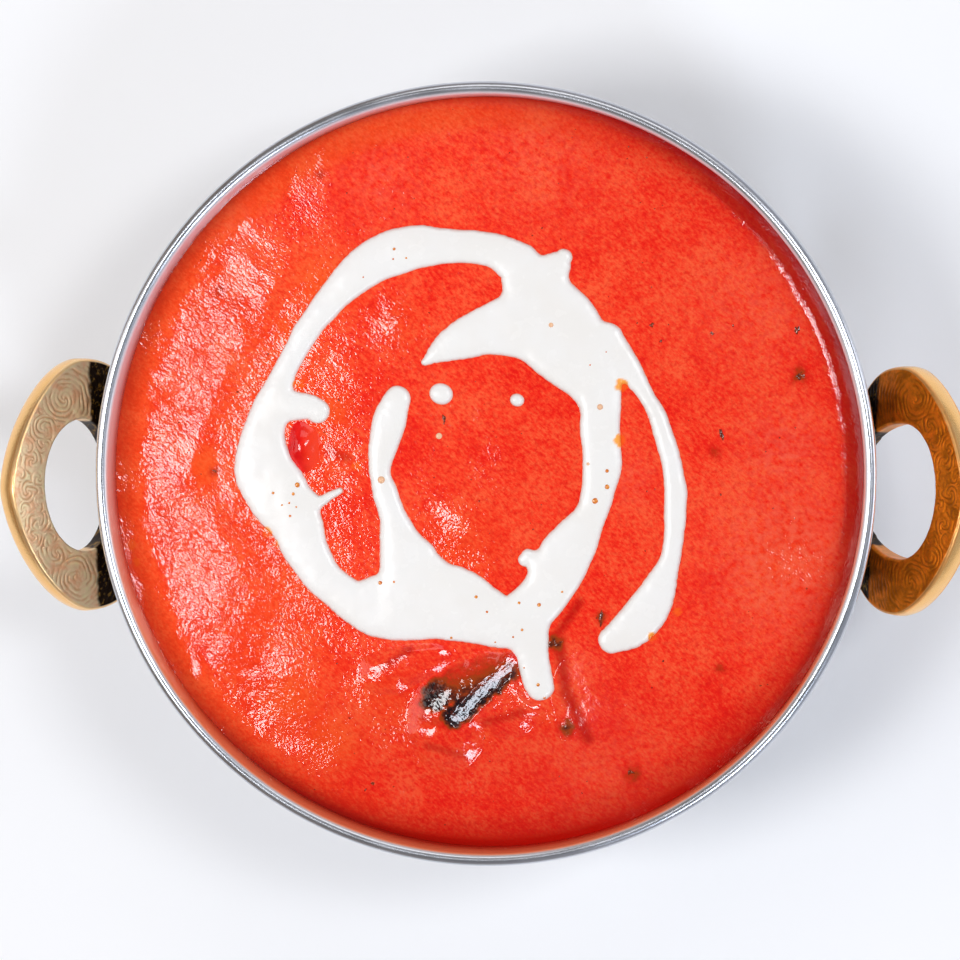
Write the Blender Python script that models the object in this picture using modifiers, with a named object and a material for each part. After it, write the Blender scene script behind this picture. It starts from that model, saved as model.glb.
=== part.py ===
"""A small two-handled steel serving bowl of chicken tikka masala, finished with a swirl of cream.

Origin at the centre of the base, +X towards the right handle, +Z up. Lengths are in metres.
"""
import math

import bmesh
import bpy
from mathutils import Matrix, Vector, noise

MM = 0.001
GAP = 0.3 * MM                      # between pieces that touch
MERGE = 0.01 * MM                   # points closer than this are one point
HARD_ANGLE = 40                     # metal edges sharper than this many degrees stay crisp
SOFT_ANGLE = 60                     # the same for food

# bowl
BOWL_HEIGHT = 58.0 * MM
BEAD_RADIUS = 1.25 * MM             # the rolled rim
INNER_RADIUS = 75.8 * MM            # of the upright wall
WALL = 1.0 * MM
BASE_RADIUS = 40.0 * MM
SHOULDER_Z = 28.0 * MM              # the wall is upright above this height
TURN_STEPS = 64
BEAD_POINTS = 7
BELLY_POINTS = 7

# handles: u runs along the rim, s up the slope of the ear from its crease
CREASE_RHO = 81.5 * MM              # distance of the crease from the bowl's axis
CREASE_Z = 43.0 * MM
EAR_TILT = math.radians(48.0)
EAR_LENGTH = 20.3 * MM
EAR_THICKNESS = 5.0 * MM
ROOT_DROP = 7.5 * MM                # the upper face falls this far from the crease to the wall
EAR_CENTRE_S = 2.0 * MM
EAR_POWER = 1.6                     # of the outer outline, where 2 would be an ellipse
ROOT_REACH = 18.0 * MM              # half axis of the outline on the bowl's side
ROOT_POWER = 2.5
HOLE_CENTRE_S = 2.4 * MM
HOLE_HALF_WIDTH = 13.6 * MM
HOLE_OUT = 9.8 * MM
HANDLE_EDGE = 0.6 * MM
HANDLE_SHARP = 50                   # edges sharper than this many degrees are worn round
EAR_POINTS = 56
HOLE_POINTS = 36
BLANK_THICKNESS = 60.0 * MM         # of the blanks that a handle is cut from
ROOT_OVERLAP = 3.0 * MM             # the blank runs this far into the wall before it is cut back
# azimuth in degrees, the ear's half width along the rim, and the hole's half axis on the bowl's side:
# the right hole runs past the wall, so that ear stands on two roots, and the left one keeps a web there
HANDLES = {
    "handle_right": (-2.3, 24.9 * MM, 16.5 * MM),
    "handle_left": (182.0, 25.8 * MM, 8.0 * MM),
}

# sauce
LEVEL = 48.0 * MM                   # 10 mm under the rim
CURRY_RADIUS = INNER_RADIUS - GAP
RING_STEP = 3.4 * MM
EDGE_BAND = 5.0 * MM                # beside the wall the surface falls off
EDGE_FALL = 1.1 * MM
EDGE_FRACTIONS = (0.62, 0.30, 0.10, 0.0)    # of the band, where its rings lie
RIPPLE = 0.35 * MM
RIPPLE_LENGTH = 9.0 * MM
COLLAR = 0.7 * MM                   # the sauce climbs this far on a chunk
COLLAR_REACH = 3.0 * MM
BED_NEAR = 3.5 * MM                 # the surface is level this close to the cream
BED_FAR = 9.0 * MM
# swells where chunks lie just under the surface: x, y, radius, height in millimetres
SWELLS = (
    (-60, 14, 10, 1.0), (-52, -12, 9, 0.9), (-62, -22, 8, 0.8), (-50, -34, 9, 1.0), (-34, -46, 9, 1.0),
    (-29, -57, 8, 0.7), (-48, 38, 9, 0.6), (-16, 30, 8, 0.6), (-4, -12, 9, 0.8), (-30, -1, 4, 0.8),
    (12, 62, 10, 0.5), (52, 34, 10, 0.6), (58, -8, 9, 0.6), (46, -40, 10, 0.7), (36, -58, 8, 0.6),
    (4, -64, 8, 0.5), (7, 6, 8, 0.5),
)

# cream: each stroke as x, y, half width in millimetres along its middle line
CREAM_HEIGHT = 1.25 * MM
CREAM_ROUND = 2.0 * MM              # a stroke of this half width has 0.63 of the full height
CREAM_CUT = 0.05 * MM               # round strokes are cut this far above their middle
CUTTER_DEPTH = 20.0 * MM
STROKE_STEP = 3.2 * MM
DROP_SIDES = 16
CAP_ANGLES = (35, 65, 85)           # of the rings that round a stroke's end
CREAM_STROKES = {
    "ring": (
        (6.6, 42.2, 4.5), (1.2, 45.1, 3.5), (-7.2, 45.9, 3.5), (-16, 45.4, 4.6), (-23.7, 42.3, 4.3),
        (-31, 35.8, 3.2), (-37.1, 27.9, 2.6), (-40.9, 20.6, 2.5), (-43.5, 14.2, 3.6), (-45.5, 7, 4.6),
        (-45.4, 0.9, 6.1), (-42.3, -4.8, 6.6), (-39, -9.7, 5.5), (-37.1, -15.1, 4.7), (-34.2, -20, 4.1),
        (-30.2, -23.9, 3.8), (-26, -26.5, 4.6), (-19.7, -27.1, 6.9), (-9.3, -25.8, 7.9), (-0.8, -28.6, 6.0),
        (4.6, -30, 5.1), (11.4, -24.9, 5.0), (16.1, -16.4, 5.4), (21.2, -8, 3.3), (23.4, 0.9, 3.9),
        (23.1, 8.9, 4.0), (22.9, 15, 4.4), (20.4, 21.5, 6.7), (15, 28, 8.9), (11.1, 34, 7.4),
        (8.2, 39.4, 5.2),
    ),
    "branch": (
        (9, 30.6, 7.5), (0.5, 29, 4.9), (-4.9, 27, 4.0), (-9.2, 24.9, 2.4), (-12.4, 22.6, 0.9),
    ),
    "capsule": (
        (-18, 15, 2.7), (-19.3, 12, 3.3), (-20.2, 8.6, 3.4), (-21.5, 2.3, 2.5), (-21.5, -0.7, 2.2),
        (-20.4, -4.4, 2.6), (-18.7, -9.4, 2.9), (-17.4, -14.5, 4.4), (-14.7, -20.3, 6.8),
    ),
    "tail": (
        (24.3, 27, 3.5), (29.5, 20.2, 2.4), (32.2, 16.2, 1.6), (34.9, 11, 1.9), (37.1, 3.6, 2.0),
        (38.3, -4.3, 2.3), (37.8, -13.5, 2.0), (36.6, -18.8, 2.4), (34.1, -25, 3.9), (30.2, -30.4, 4.2),
        (25.5, -33.5, 2.8),
    ),
    "drip": ((8.2, -31.5, 4.6), (9.3, -36.6, 3.5), (10.3, -40.8, 3.2), (11, -43.1, 2.8)),
    "nub": ((10.8, 38.4, 5.1), (14.5, 42, 2.8), (15.6, 43.4, 1.9)),
    "left_nub": ((-40.9, 13.6, 3.3), (-35.9, 13.5, 2.6), (-34.3, 12.5, 2.5)),
    "thread": ((-37.9, -5.5, 2.8), (-34.2, -5.9, 1.3), (-32, -4.7, 1.0), (-29.8, -3.6, 0.8)),
    "lip": ((11.6, -18.8, 2.4), (8.7, -16.7, 1.6), (7.8, -17.4, 1.3)),
}
CREAM_DROPS = {"cream_drop_large": (-9.1, 16.1, 2.3), "cream_drop_small": (6.3, 14.9, 1.4)}

# chunks that stand out of the sauce, as lobes in millimetres: centre from the level, half axes, turn
CHUNKS = {
    "chicken_charred": (
        ((-3.8, -45.0, -1.6), (10.0, 6.0, 5.6), 27),
        ((0.8, -40.8, -2.0), (5.0, 3.8, 4.6), 20),
        ((-8.2, -52.4, -1.8), (6.0, 6.6, 5.0), 12),
        ((3.6, -47.4, -2.2), (5.4, 4.6, 4.4), 0),
    ),
    "chicken_left": (
        ((-15.8, -38.6, -1.8), (7.2, 3.4, 4.2), 14),
        ((-20.2, -40.6, -2.0), (4.2, 3.2, 3.8), 0),
    ),
    "chicken_right": (
        ((21.6, -44.6, -2.4), (5.0, 5.6, 4.8), 0),
        ((23.0, -50.4, -2.6), (4.8, 5.2, 4.6), 0),
    ),
    "tomato_piece": (((-36.9, 5.2, -1.2), (3.2, 4.7, 3.0), 10),),
}
CHUNK_ROUGHNESS = {"chicken_charred": 0.5, "chicken_left": 0.3, "chicken_right": 0.3, "tomato_piece": 0.05}
CHUNK_SIDES = {"chicken_charred": 28, "chicken_left": 20, "chicken_right": 20, "tomato_piece": 14}
CHUNK_BUMPS = 2.6                   # the higher, the more bumps round a chunk
BUMP_SHIFT = 100.0                  # gives each chunk bumps of its own
LOBE_BLEND = 9                      # the higher, the sharper the valleys between lobes
POCKET_GAP = 0.55 * MM              # at a chunk's corners, which leaves about GAP between flat sides


def start():
    """Empties the scene and returns one collection for the parts and one for the cutters."""
    for thing in list(bpy.data.objects):
        bpy.data.objects.remove(thing, do_unlink=True)
    folders = []
    for name in ("tikka_masala_bowl", "cutters"):
        folder = bpy.data.collections.new(name)
        bpy.context.scene.collection.children.link(folder)
        folders.append(folder)
    return folders


def material(name, colour, roughness, metallic=0.0):
    mat = bpy.data.materials.new(name)
    mat.use_nodes = True
    shader = mat.node_tree.nodes["Principled BSDF"]
    shader.inputs["Base Color"].default_value = (*colour, 1.0)
    shader.inputs["Roughness"].default_value = roughness
    shader.inputs["Metallic"].default_value = metallic
    mat.diffuse_color = (*colour, 1.0)
    return mat


def add_object(name, data, folder, matrix=None):
    thing = bpy.data.objects.new(name, data)
    folder.objects.link(thing)
    if matrix is not None:
        thing.matrix_world = matrix
    bpy.context.view_layer.update()
    return thing


def evaluated_mesh(thing):
    depsgraph = bpy.context.evaluated_depsgraph_get()
    return bpy.data.meshes.new_from_object(thing.evaluated_get(depsgraph))


def apply_modifiers(thing):
    thing.data = evaluated_mesh(thing)
    thing.modifiers.clear()


def combine(thing, operation, others):
    """Applies one exact Boolean with a collection, whose objects are then removed."""
    modifier = thing.modifiers.new(operation.lower(), "BOOLEAN")
    modifier.operation = operation
    modifier.operand_type = "COLLECTION"
    modifier.collection = others
    apply_modifiers(thing)
    for used in list(others.objects):
        bpy.data.objects.remove(used, do_unlink=True)


def finish(thing, mat, smooth_angle):
    thing.data.materials.clear()
    thing.data.materials.append(mat)
    thing.data.shade_smooth()
    thing.data.set_sharp_from_angle(angle=math.radians(smooth_angle))


def add_cutter(name, data, folder, matrix=None):
    thing = add_object(name, data, folder, matrix)
    thing.hide_render = True
    thing.display_type = "WIRE"
    return thing


def welded_curve(name, curve, folder, matrix=None):
    """A mesh object made from a curve, with the curve's caps welded on."""
    guide = add_object(name + "_curve", curve, folder, matrix)
    mesh = evaluated_mesh(guide)
    place = guide.matrix_world.copy()
    bpy.data.objects.remove(guide, do_unlink=True)
    bm = bmesh.new()
    bm.from_mesh(mesh)
    bmesh.ops.remove_doubles(bm, verts=bm.verts, dist=MERGE)
    bmesh.ops.recalc_face_normals(bm, faces=bm.faces)
    bm.to_mesh(mesh)
    bm.free()
    return add_object(name, mesh, folder, place)


def turned(name, profile, folder):
    """Turns (radius, height) points, which run down the outer side, about the bowl's axis."""
    mesh = bpy.data.meshes.new(name)
    edges = [(i, i + 1) for i in range(len(profile) - 1)]
    mesh.from_pydata([(radius, 0.0, height) for radius, height in profile], edges, [])
    thing = add_object(name, mesh, folder)
    screw = thing.modifiers.new("turn", "SCREW")
    screw.steps = TURN_STEPS
    screw.render_steps = TURN_STEPS
    screw.use_merge_vertices = True
    screw.merge_threshold = MERGE
    return thing


def belly(outer_radius, bottom):
    """The rounded stretch from the upright wall down to the flat base."""
    points = []
    for i in range(BELLY_POINTS):
        angle = math.radians(90.0 * i / (BELLY_POINTS - 1))
        radius = BASE_RADIUS + (outer_radius - BASE_RADIUS) * math.cos(angle)
        points.append((radius, bottom + (SHOULDER_Z - bottom) * (1.0 - math.sin(angle))))
    return points


def bead(first, last, count):
    """Points of the rolled rim between two angles in degrees."""
    centre = (INNER_RADIUS + BEAD_RADIUS, BOWL_HEIGHT - BEAD_RADIUS)
    angles = [math.radians(first + (last - first) * i / (count - 1)) for i in range(count)]
    return [(centre[0] + BEAD_RADIUS * math.cos(a), centre[1] + BEAD_RADIUS * math.sin(a)) for a in angles]


def make_bowl(folder, steel):
    under_bead = -math.degrees(math.acos((WALL - BEAD_RADIUS) / BEAD_RADIUS))
    inside = [(0.0, WALL)] + list(reversed(belly(INNER_RADIUS, WALL)))
    outside = belly(INNER_RADIUS + WALL, 0.0) + [(0.0, 0.0)]
    rim = bead(180.0, 90.0, BEAD_POINTS // 2 + 1) + bead(90.0, under_bead, BEAD_POINTS)[1:]
    bowl = turned("bowl", inside + rim + outside, folder)
    finish(bowl, steel, HARD_ANGLE)


def outline(centre, half_width, outer, inner, count):
    """(u, s) points of an oval, whose outer and inner halves have their own (half axis, power)."""
    points = []
    for i in range(count):
        angle = math.tau * i / count
        cos_a, sin_a = math.cos(angle), math.sin(angle)
        reach, power = outer if sin_a >= 0.0 else inner
        u = math.copysign(abs(cos_a) ** (2.0 / power), cos_a) * half_width
        s = math.copysign(abs(sin_a) ** (2.0 / power), sin_a) * reach
        points.append((u, centre + s))
    return points


def flat_curve(name, outlines):
    """A 2D curve filled between its outlines and extruded to both sides, as a thick blank."""
    curve = bpy.data.curves.new(name, "CURVE")
    curve.dimensions = "2D"
    curve.fill_mode = "BOTH"
    curve.extrude = BLANK_THICKNESS / 2.0
    for corners in outlines:
        spline = curve.splines.new("POLY")
        spline.points.add(len(corners) - 1)
        for point, (x, y) in zip(spline.points, corners):
            point.co = (x, y, 0.0, 1.0)
        spline.use_cyclic_u = True
    return curve


def frame_matrix(x_axis, y_axis, origin):
    """A placement whose local X and Y run along two given directions."""
    z_axis = x_axis.cross(y_axis)
    columns = Matrix((x_axis, y_axis, z_axis)).transposed()
    return Matrix.Translation(origin) @ columns.to_4x4()


def ear_section():
    """(radius, height) corners of the ear's section: upper face, polished edge and lower face."""
    slope = Vector((math.cos(EAR_TILT), math.sin(EAR_TILT)))
    below = Vector((math.sin(EAR_TILT), -math.cos(EAR_TILT))) * EAR_THICKNESS
    crease = Vector((CREASE_RHO, CREASE_Z))
    tip = crease + slope * EAR_LENGTH
    wall = INNER_RADIUS + WALL
    inside = wall - ROOT_OVERLAP
    root_slope = ROOT_DROP / (CREASE_RHO - wall)
    upper_root = (inside, CREASE_Z - root_slope * (CREASE_RHO - inside))
    lower_root = tip + below - slope * ((tip.x + below.x - inside) / slope.x)
    return [upper_root, tuple(crease), tuple(tip), tuple(tip + below), tuple(lower_root)]


def wall_cutter(folder):
    """A drum that takes the bowl's room out of a handle, with a gap all round."""
    radius = (INNER_RADIUS + WALL + GAP) / math.cos(math.pi / TURN_STEPS)
    mesh = bpy.data.meshes.new("wall_space")
    bm = bmesh.new()
    bmesh.ops.create_cone(
        bm, cap_ends=True, segments=TURN_STEPS, radius1=radius, radius2=radius, depth=4.0 * BOWL_HEIGHT)
    bm.to_mesh(mesh)
    bm.free()
    return add_cutter("wall_space", mesh, folder)


def make_handle(name, folder, cutters, brass):
    """An ear cut from two blanks: its outline seen square on, and its section seen from the side."""
    azimuth, half_width, hole_in = HANDLES[name]
    slope = Vector((math.cos(EAR_TILT), 0.0, math.sin(EAR_TILT)))
    ear_outer = (EAR_LENGTH - EAR_CENTRE_S, EAR_POWER)
    ear = outline(EAR_CENTRE_S, half_width, ear_outer, (ROOT_REACH, ROOT_POWER), EAR_POINTS)
    hole = outline(HOLE_CENTRE_S, HOLE_HALF_WIDTH, (HOLE_OUT, 2.0), (hole_in, 2.0), HOLE_POINTS)
    ear_place = frame_matrix(Vector((0.0, -1.0, 0.0)), slope, Vector((CREASE_RHO, 0.0, CREASE_Z)))
    handle = welded_curve(name, flat_curve(name, [ear, hole]), folder, ear_place)
    section_place = frame_matrix(Vector((1.0, 0.0, 0.0)), Vector((0.0, 0.0, 1.0)), Vector((0.0, 0.0, 0.0)))
    welded_curve("section", flat_curve("section", [ear_section()]), cutters, section_place)
    combine(handle, "INTERSECT", cutters)
    wall_cutter(cutters)
    combine(handle, "DIFFERENCE", cutters)
    handle.matrix_world = Matrix.Rotation(math.radians(azimuth), 4, "Z") @ handle.matrix_world
    edge = handle.modifiers.new("worn_edges", "BEVEL")
    edge.width = HANDLE_EDGE
    edge.segments = 2
    edge.limit_method = "ANGLE"
    edge.angle_limit = math.radians(HANDLE_SHARP)
    finish(handle, brass, HARD_ANGLE)


def smooth_stroke(points):
    """Catmull-Rom samples of (x, y, half width), in metres."""
    knots = [Vector(p) * MM for p in points]
    knots = [2.0 * knots[0] - knots[1]] + knots + [2.0 * knots[-1] - knots[-2]]
    samples = []
    for a, b, c, d in zip(knots, knots[1:], knots[2:], knots[3:]):
        count = max(1, round((c.xy - b.xy).length / STROKE_STEP))
        for i in range(count):
            t = i / count
            samples.append(0.5 * (2.0 * b + (c - a) * t + (2.0 * a - 5.0 * b + 4.0 * c - d) * t ** 2
                                  + (3.0 * b - a - 3.0 * c + d) * t ** 3))
    samples.append(knots[-2])
    return samples


def round_end(tip, before):
    """Rings beyond a stroke's last one that close it with a round end."""
    direction = (tip.xy - before.xy).normalized()
    rings = []
    for angle in CAP_ANGLES:
        place = tip.xy + direction * tip.z * math.sin(math.radians(angle))
        rings.append(Vector((place.x, place.y, tip.z * math.cos(math.radians(angle)))))
    return rings


def stroke_tube(name, samples, folder):
    """A round tube along the samples, as thick as the stroke is wide."""
    head = list(reversed(round_end(samples[0], samples[1])))
    rings = head + samples + round_end(samples[-1], samples[-2])
    curve = bpy.data.curves.new(name, "CURVE")
    curve.dimensions = "3D"
    curve.bevel_depth = 1.0
    curve.bevel_resolution = 2
    curve.use_fill_caps = True
    spline = curve.splines.new("POLY")
    spline.points.add(len(rings) - 1)
    for point, ring in zip(spline.points, rings):
        point.co = (ring.x, ring.y, 0.0, 1.0)
        point.radius = ring.z
    return welded_curve(name, curve, folder)


def flatten_puddle(mesh):
    """Turns round strokes, cut at their middle, into a flat puddle with rounded edges."""
    for vertex in mesh.vertices:
        vertex.co.z = CREAM_HEIGHT * (1.0 - math.exp(-max(vertex.co.z, 0.0) / CREAM_ROUND))


def lower_half_cutter(folder):
    """A block whose top is just above the strokes' middle plane."""
    mesh = bpy.data.meshes.new("lower_half")
    bm = bmesh.new()
    bmesh.ops.create_cube(bm, size=1.0)
    bmesh.ops.scale(bm, verts=bm.verts, vec=(2.0 * INNER_RADIUS, 2.0 * INNER_RADIUS, CUTTER_DEPTH))
    bmesh.ops.translate(bm, verts=bm.verts, vec=(0.0, 0.0, CREAM_CUT - CUTTER_DEPTH / 2.0))
    bm.to_mesh(mesh)
    bm.free()
    return add_cutter("lower_half", mesh, folder)


def make_cream(strokes, folder, cutters, cream):
    names = list(strokes)
    swirl = stroke_tube("cream_swirl", strokes[names[0]], folder)
    for name in names[1:]:
        stroke_tube(name, strokes[name], cutters)
    combine(swirl, "UNION", cutters)
    lower_half_cutter(cutters)
    combine(swirl, "DIFFERENCE", cutters)
    flatten_puddle(swirl.data)
    swirl.location.z = LEVEL + GAP
    finish(swirl, cream, SOFT_ANGLE)


def make_drop(name, x, y, radius, folder, cutters, cream):
    mesh = bpy.data.meshes.new(name)
    bm = bmesh.new()
    bmesh.ops.create_uvsphere(bm, u_segments=DROP_SIDES, v_segments=DROP_SIDES // 2, radius=radius)
    bm.to_mesh(mesh)
    bm.free()
    drop = add_object(name, mesh, folder)
    lower_half_cutter(cutters)
    combine(drop, "DIFFERENCE", cutters)
    flatten_puddle(drop.data)
    drop.location = (x, y, LEVEL + GAP)
    finish(drop, cream, SOFT_ANGLE)


def lobe_exit(origin, direction, lobe):
    """How far a ray from the origin runs before it leaves an ellipsoidal lobe, or zero if it misses."""
    centre, axes, turn = lobe
    to_local = Matrix.Rotation(-math.radians(turn), 3, "Z")
    scale = Vector((1.0 / axes[0], 1.0 / axes[1], 1.0 / axes[2])) / MM
    offset = (to_local @ (origin - Vector(centre) * MM)) * scale
    ray = (to_local @ direction) * scale
    half_b = offset.dot(ray)
    root = half_b ** 2 - ray.length_squared * (offset.length_squared - 1.0)
    if root <= 0.0:
        return 0.0
    return max(0.0, (math.sqrt(root) - half_b) / ray.length_squared)


def chunk_mesh(name, extra=0.0):
    """A ball drawn out to the lobes of one chunk, with an uneven surface."""
    lobes = CHUNKS[name]
    origin = Vector(lobes[0][0]) * MM
    sides = CHUNK_SIDES[name]
    mesh = bpy.data.meshes.new(name)
    bm = bmesh.new()
    bmesh.ops.create_uvsphere(bm, u_segments=sides, v_segments=sides // 2, radius=1.0)
    for vertex in bm.verts:
        direction = vertex.co.normalized()
        exits = [lobe_exit(origin, direction, lobe) for lobe in lobes]
        reach = sum(distance ** LOBE_BLEND for distance in exits) ** (1.0 / LOBE_BLEND)
        reach += noise.noise(direction * CHUNK_BUMPS + origin * BUMP_SHIFT) * CHUNK_ROUGHNESS[name] * MM
        vertex.co = origin + direction * reach
    bm.normal_update()
    for vertex in bm.verts:
        vertex.co += vertex.normal * extra
    bm.to_mesh(mesh)
    bm.free()
    return mesh


def make_chunks(folder, looks):
    for name, mat in looks.items():
        chunk = add_object(name, chunk_mesh(name), folder)
        chunk.location.z = LEVEL
        finish(chunk, mat, SOFT_ANGLE)


def smooth_step(low, high, value):
    t = min(1.0, max(0.0, (value - low) / (high - low)))
    return t * t * (3.0 - 2.0 * t)


def chunk_distance(x, y):
    """Roughly how far a point lies outside the nearest chunk, in plan."""
    nearest = math.inf
    for lobes in CHUNKS.values():
        for centre, axes, turn in lobes:
            offset = Vector((x - centre[0] * MM, y - centre[1] * MM))
            offset.rotate(Matrix.Rotation(-math.radians(turn), 2))
            ratio = math.hypot(offset.x / axes[0], offset.y / axes[1]) / MM
            nearest = min(nearest, (ratio - 1.0) * min(axes[:2]) * MM)
    return nearest


def sauce_height(x, y, cream_samples):
    """Height of the sauce over its level."""
    cream_gap = min(math.hypot(x - c.x, y - c.y) - c.z for c in cream_samples)
    uneven = noise.noise(Vector((x, y, 0.0)) / RIPPLE_LENGTH) * RIPPLE
    for sx, sy, radius, height in SWELLS:
        reach = math.hypot(x - sx * MM, y - sy * MM) / (radius * MM)
        uneven += height * MM * math.exp(-reach ** 2)
    uneven += COLLAR * math.exp(-max(0.0, chunk_distance(x, y)) / COLLAR_REACH)
    beside_wall = max(0.0, (math.hypot(x, y) - CURRY_RADIUS + EDGE_BAND) / EDGE_BAND)
    return uneven * smooth_step(BED_NEAR, BED_FAR, cream_gap) - EDGE_FALL * beside_wall ** 2


def make_curry(strokes, folder, cutters, sauce):
    cream_samples = [sample for stroke in strokes.values() for sample in stroke]
    cream_samples += [Vector(drop) * MM for drop in CREAM_DROPS.values()]
    plain = int((CURRY_RADIUS - EDGE_BAND) / RING_STEP)
    radii = [RING_STEP * i for i in range(plain + 1)]
    radii += [CURRY_RADIUS - EDGE_BAND * fraction for fraction in EDGE_FRACTIONS]
    surface = [(radius, LEVEL) for radius in radii]
    curry = turned("curry", surface + belly(CURRY_RADIUS, WALL + GAP) + [(0.0, WALL + GAP)], folder)
    apply_modifiers(curry)
    for vertex in curry.data.vertices:
        if vertex.co.z > LEVEL - MERGE:
            vertex.co.z += sauce_height(vertex.co.x, vertex.co.y, cream_samples)
    for name in CHUNKS:
        pocket = add_cutter(name + "_pocket", chunk_mesh(name, POCKET_GAP), cutters)
        pocket.location.z = LEVEL
    bpy.context.view_layer.update()
    combine(curry, "DIFFERENCE", cutters)
    finish(curry, sauce, HARD_ANGLE)


def main():
    folder, cutters = start()
    steel = material("steel", (0.70, 0.71, 0.73), 0.25, 1.0)
    brass = material("brass", (0.62, 0.42, 0.17), 0.38, 1.0)
    sauce = material("tikka_sauce", (0.82, 0.09, 0.02), 0.25)
    cream = material("cream", (0.90, 0.88, 0.85), 0.30)
    charred = material("charred_chicken", (0.12, 0.03, 0.02), 0.35)
    sauced = material("sauced_chicken", (0.80, 0.12, 0.03), 0.28)
    tomato = material("tomato", (0.75, 0.02, 0.01), 0.12)
    strokes = {name: smooth_stroke(points) for name, points in CREAM_STROKES.items()}
    make_bowl(folder, steel)
    for name in HANDLES:
        make_handle(name, folder, cutters, brass)
    make_curry(strokes, folder, cutters, sauce)
    make_cream(strokes, folder, cutters, cream)
    for name, (x, y, radius) in CREAM_DROPS.items():
        make_drop(name, x * MM, y * MM, radius * MM, folder, cutters, cream)
    make_chunks(folder, {
        "chicken_charred": charred,
        "chicken_left": sauced,
        "chicken_right": sauced,
        "tomato_piece": tomato,
    })


main()
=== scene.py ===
"""A small steel serving bowl of chicken tikka masala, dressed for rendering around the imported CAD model.

Shapes are worked out in millimetres, in the CAD frame, and become metres where a mesh is made.
"""
import math
import random

import bmesh
import bpy
import numpy as np
from mathutils import Matrix, Vector, noise


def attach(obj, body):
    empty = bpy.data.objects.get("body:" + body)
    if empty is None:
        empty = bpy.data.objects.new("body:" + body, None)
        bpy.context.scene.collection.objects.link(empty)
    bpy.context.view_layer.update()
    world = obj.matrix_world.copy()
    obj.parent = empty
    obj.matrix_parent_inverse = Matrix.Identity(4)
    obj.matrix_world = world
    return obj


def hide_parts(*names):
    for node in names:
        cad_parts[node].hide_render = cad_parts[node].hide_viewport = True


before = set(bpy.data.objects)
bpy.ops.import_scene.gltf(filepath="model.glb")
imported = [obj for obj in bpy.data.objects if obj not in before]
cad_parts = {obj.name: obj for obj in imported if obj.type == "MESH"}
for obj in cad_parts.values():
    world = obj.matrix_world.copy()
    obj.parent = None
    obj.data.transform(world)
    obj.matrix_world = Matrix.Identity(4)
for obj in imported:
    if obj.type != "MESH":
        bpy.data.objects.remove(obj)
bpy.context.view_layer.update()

MM = 0.001
SEED = 41
SHARP = 60  # edges of the sauce sharper than this many degrees stay crisp

# camera, and how a pixel of the photograph maps to a place
PHOTO_SIDE = 960
CAMERA_AT = Vector((66.4, 32.6, 708.0))
CAMERA_AIM = Vector((-0.2, -0.76, 58.0))
PIXEL = 0.199  # width of a pixel at the height of the aim
SENSOR = 36.0

# lights: name, place, size, radiance, colour; and the room's colours from left to right
LIGHTS = (
    ("key_upper_right", (360, 150, 800), (150, 200), 18.6, (0.95, 0.97, 1.0)),
    ("ceiling_left", (-400, -60, 900), (250, 300), 15.6, (0.97, 0.98, 1.0)),
    ("window_right", (760, 40, 230), (500, 280), 2.0, (0.94, 0.95, 1.0)),
    ("window_front", (340, -520, 730), (180, 180), 17.0, (0.80, 0.88, 1.0)),
    ("fill_left", (-620, 0, 480), (420, 420), 1.5, (1.0, 0.96, 0.92)),
    ("fill_back", (60, 500, 600), (500, 260), 1.6, (1.0, 0.98, 0.96)),
)
ROOM = ((0.15, (0.22, 0.18, 0.15)), (0.8, (0.34, 0.35, 0.38)))
ROOM_DIMMING = ((0.2, 1.4), (1.0, 0.3))  # height of a direction and how bright the room is there
FLOOR = 900.0

# bowl
BOWL_HEIGHT = 58.0
BEAD_RADIUS = 1.25
INNER_RADIUS = 75.8
WALL = 1.0
OUTER_RADIUS = INNER_RADIUS + WALL
BASE_RADIUS = 40.0
SHOULDER_Z = 28.0
TURN_STEPS = 360
BELLY_STEPS = 16
RIM_STEPS = 30
BASE_RING = 20.0  # radius of a ring of points within the flat base
INSIDE_ROWS = (36.0, 44.0, 48.0, 50.0, 51.5, 53.0, 54.5)
OUTSIDE_ROWS = (52.0, 44.0, 36.0)
MATT_RISE = (48.0, 56.0)  # the inside of the wall becomes matt and is painted pale bluish, as the bright light it reflects, between these heights
SAUCE_REFLECTION = 0.9  # painted reflection of the orange sauce in the inside of the wall: how strongly it shows, above the height below
SAUCE_REFLECTION_FROM = 40.0
SAUCE_REFLECTION_FRONT = (0.5, -0.6)  # where it begins and is whole, as y over the radius

# handles: u runs along the rim, s up the slope of the ear from its crease, w into the ear
CREASE_RHO = 81.5
CREASE_Z = 43.0
EAR_TILT = math.radians(48.0)
EAR_LENGTH = 20.3
EAR_THICKNESS = 5.0
ROOT_DROP = 7.5
EAR_CENTRE_S = 2.0
EAR_POWER = 1.6
ROOT_REACH = 18.0
ROOT_POWER = 2.5
HOLE_CENTRE_S = 2.4
HOLE_HALF_WIDTH = 13.6
HOLE_OUT = 9.8
HANDLE_GAP = 0.3
CLEAR_RADIUS = OUTER_RADIUS + HANDLE_GAP
CREASE_SOFTNESS = 0.3
HANDLE_EDGE = 0.6
HANDLE_BULGE = 0.25  # of the polished band
ROOT_LIP = 0.35  # least width of a root's upper end, where the hole meets the wall
ROOT_END = 0.6  # a root's last section is this thick
EAR_STEPS = 720
EAR_RAYS = (5.0, 60.0)  # the outlines lie between these distances from the hole's centre
FACE_STEPS = 44
GROOVE_DEPTH = 0.10
GROOVE_POWER = 2.0  # the higher, the narrower a groove
# noises as height, length and shift: a groove's waver, to which each axis adds a shift, and the brass's wear
GROOVE_WAVER = ((0.55, 3.0, 3.0), (0.18, 0.9, 5.0))
AXIS_SHIFTS = (0.0, 10.0)
WEAR = ((0.06, 2.2, 0.0), (0.03, 0.9, 7.0))
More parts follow.
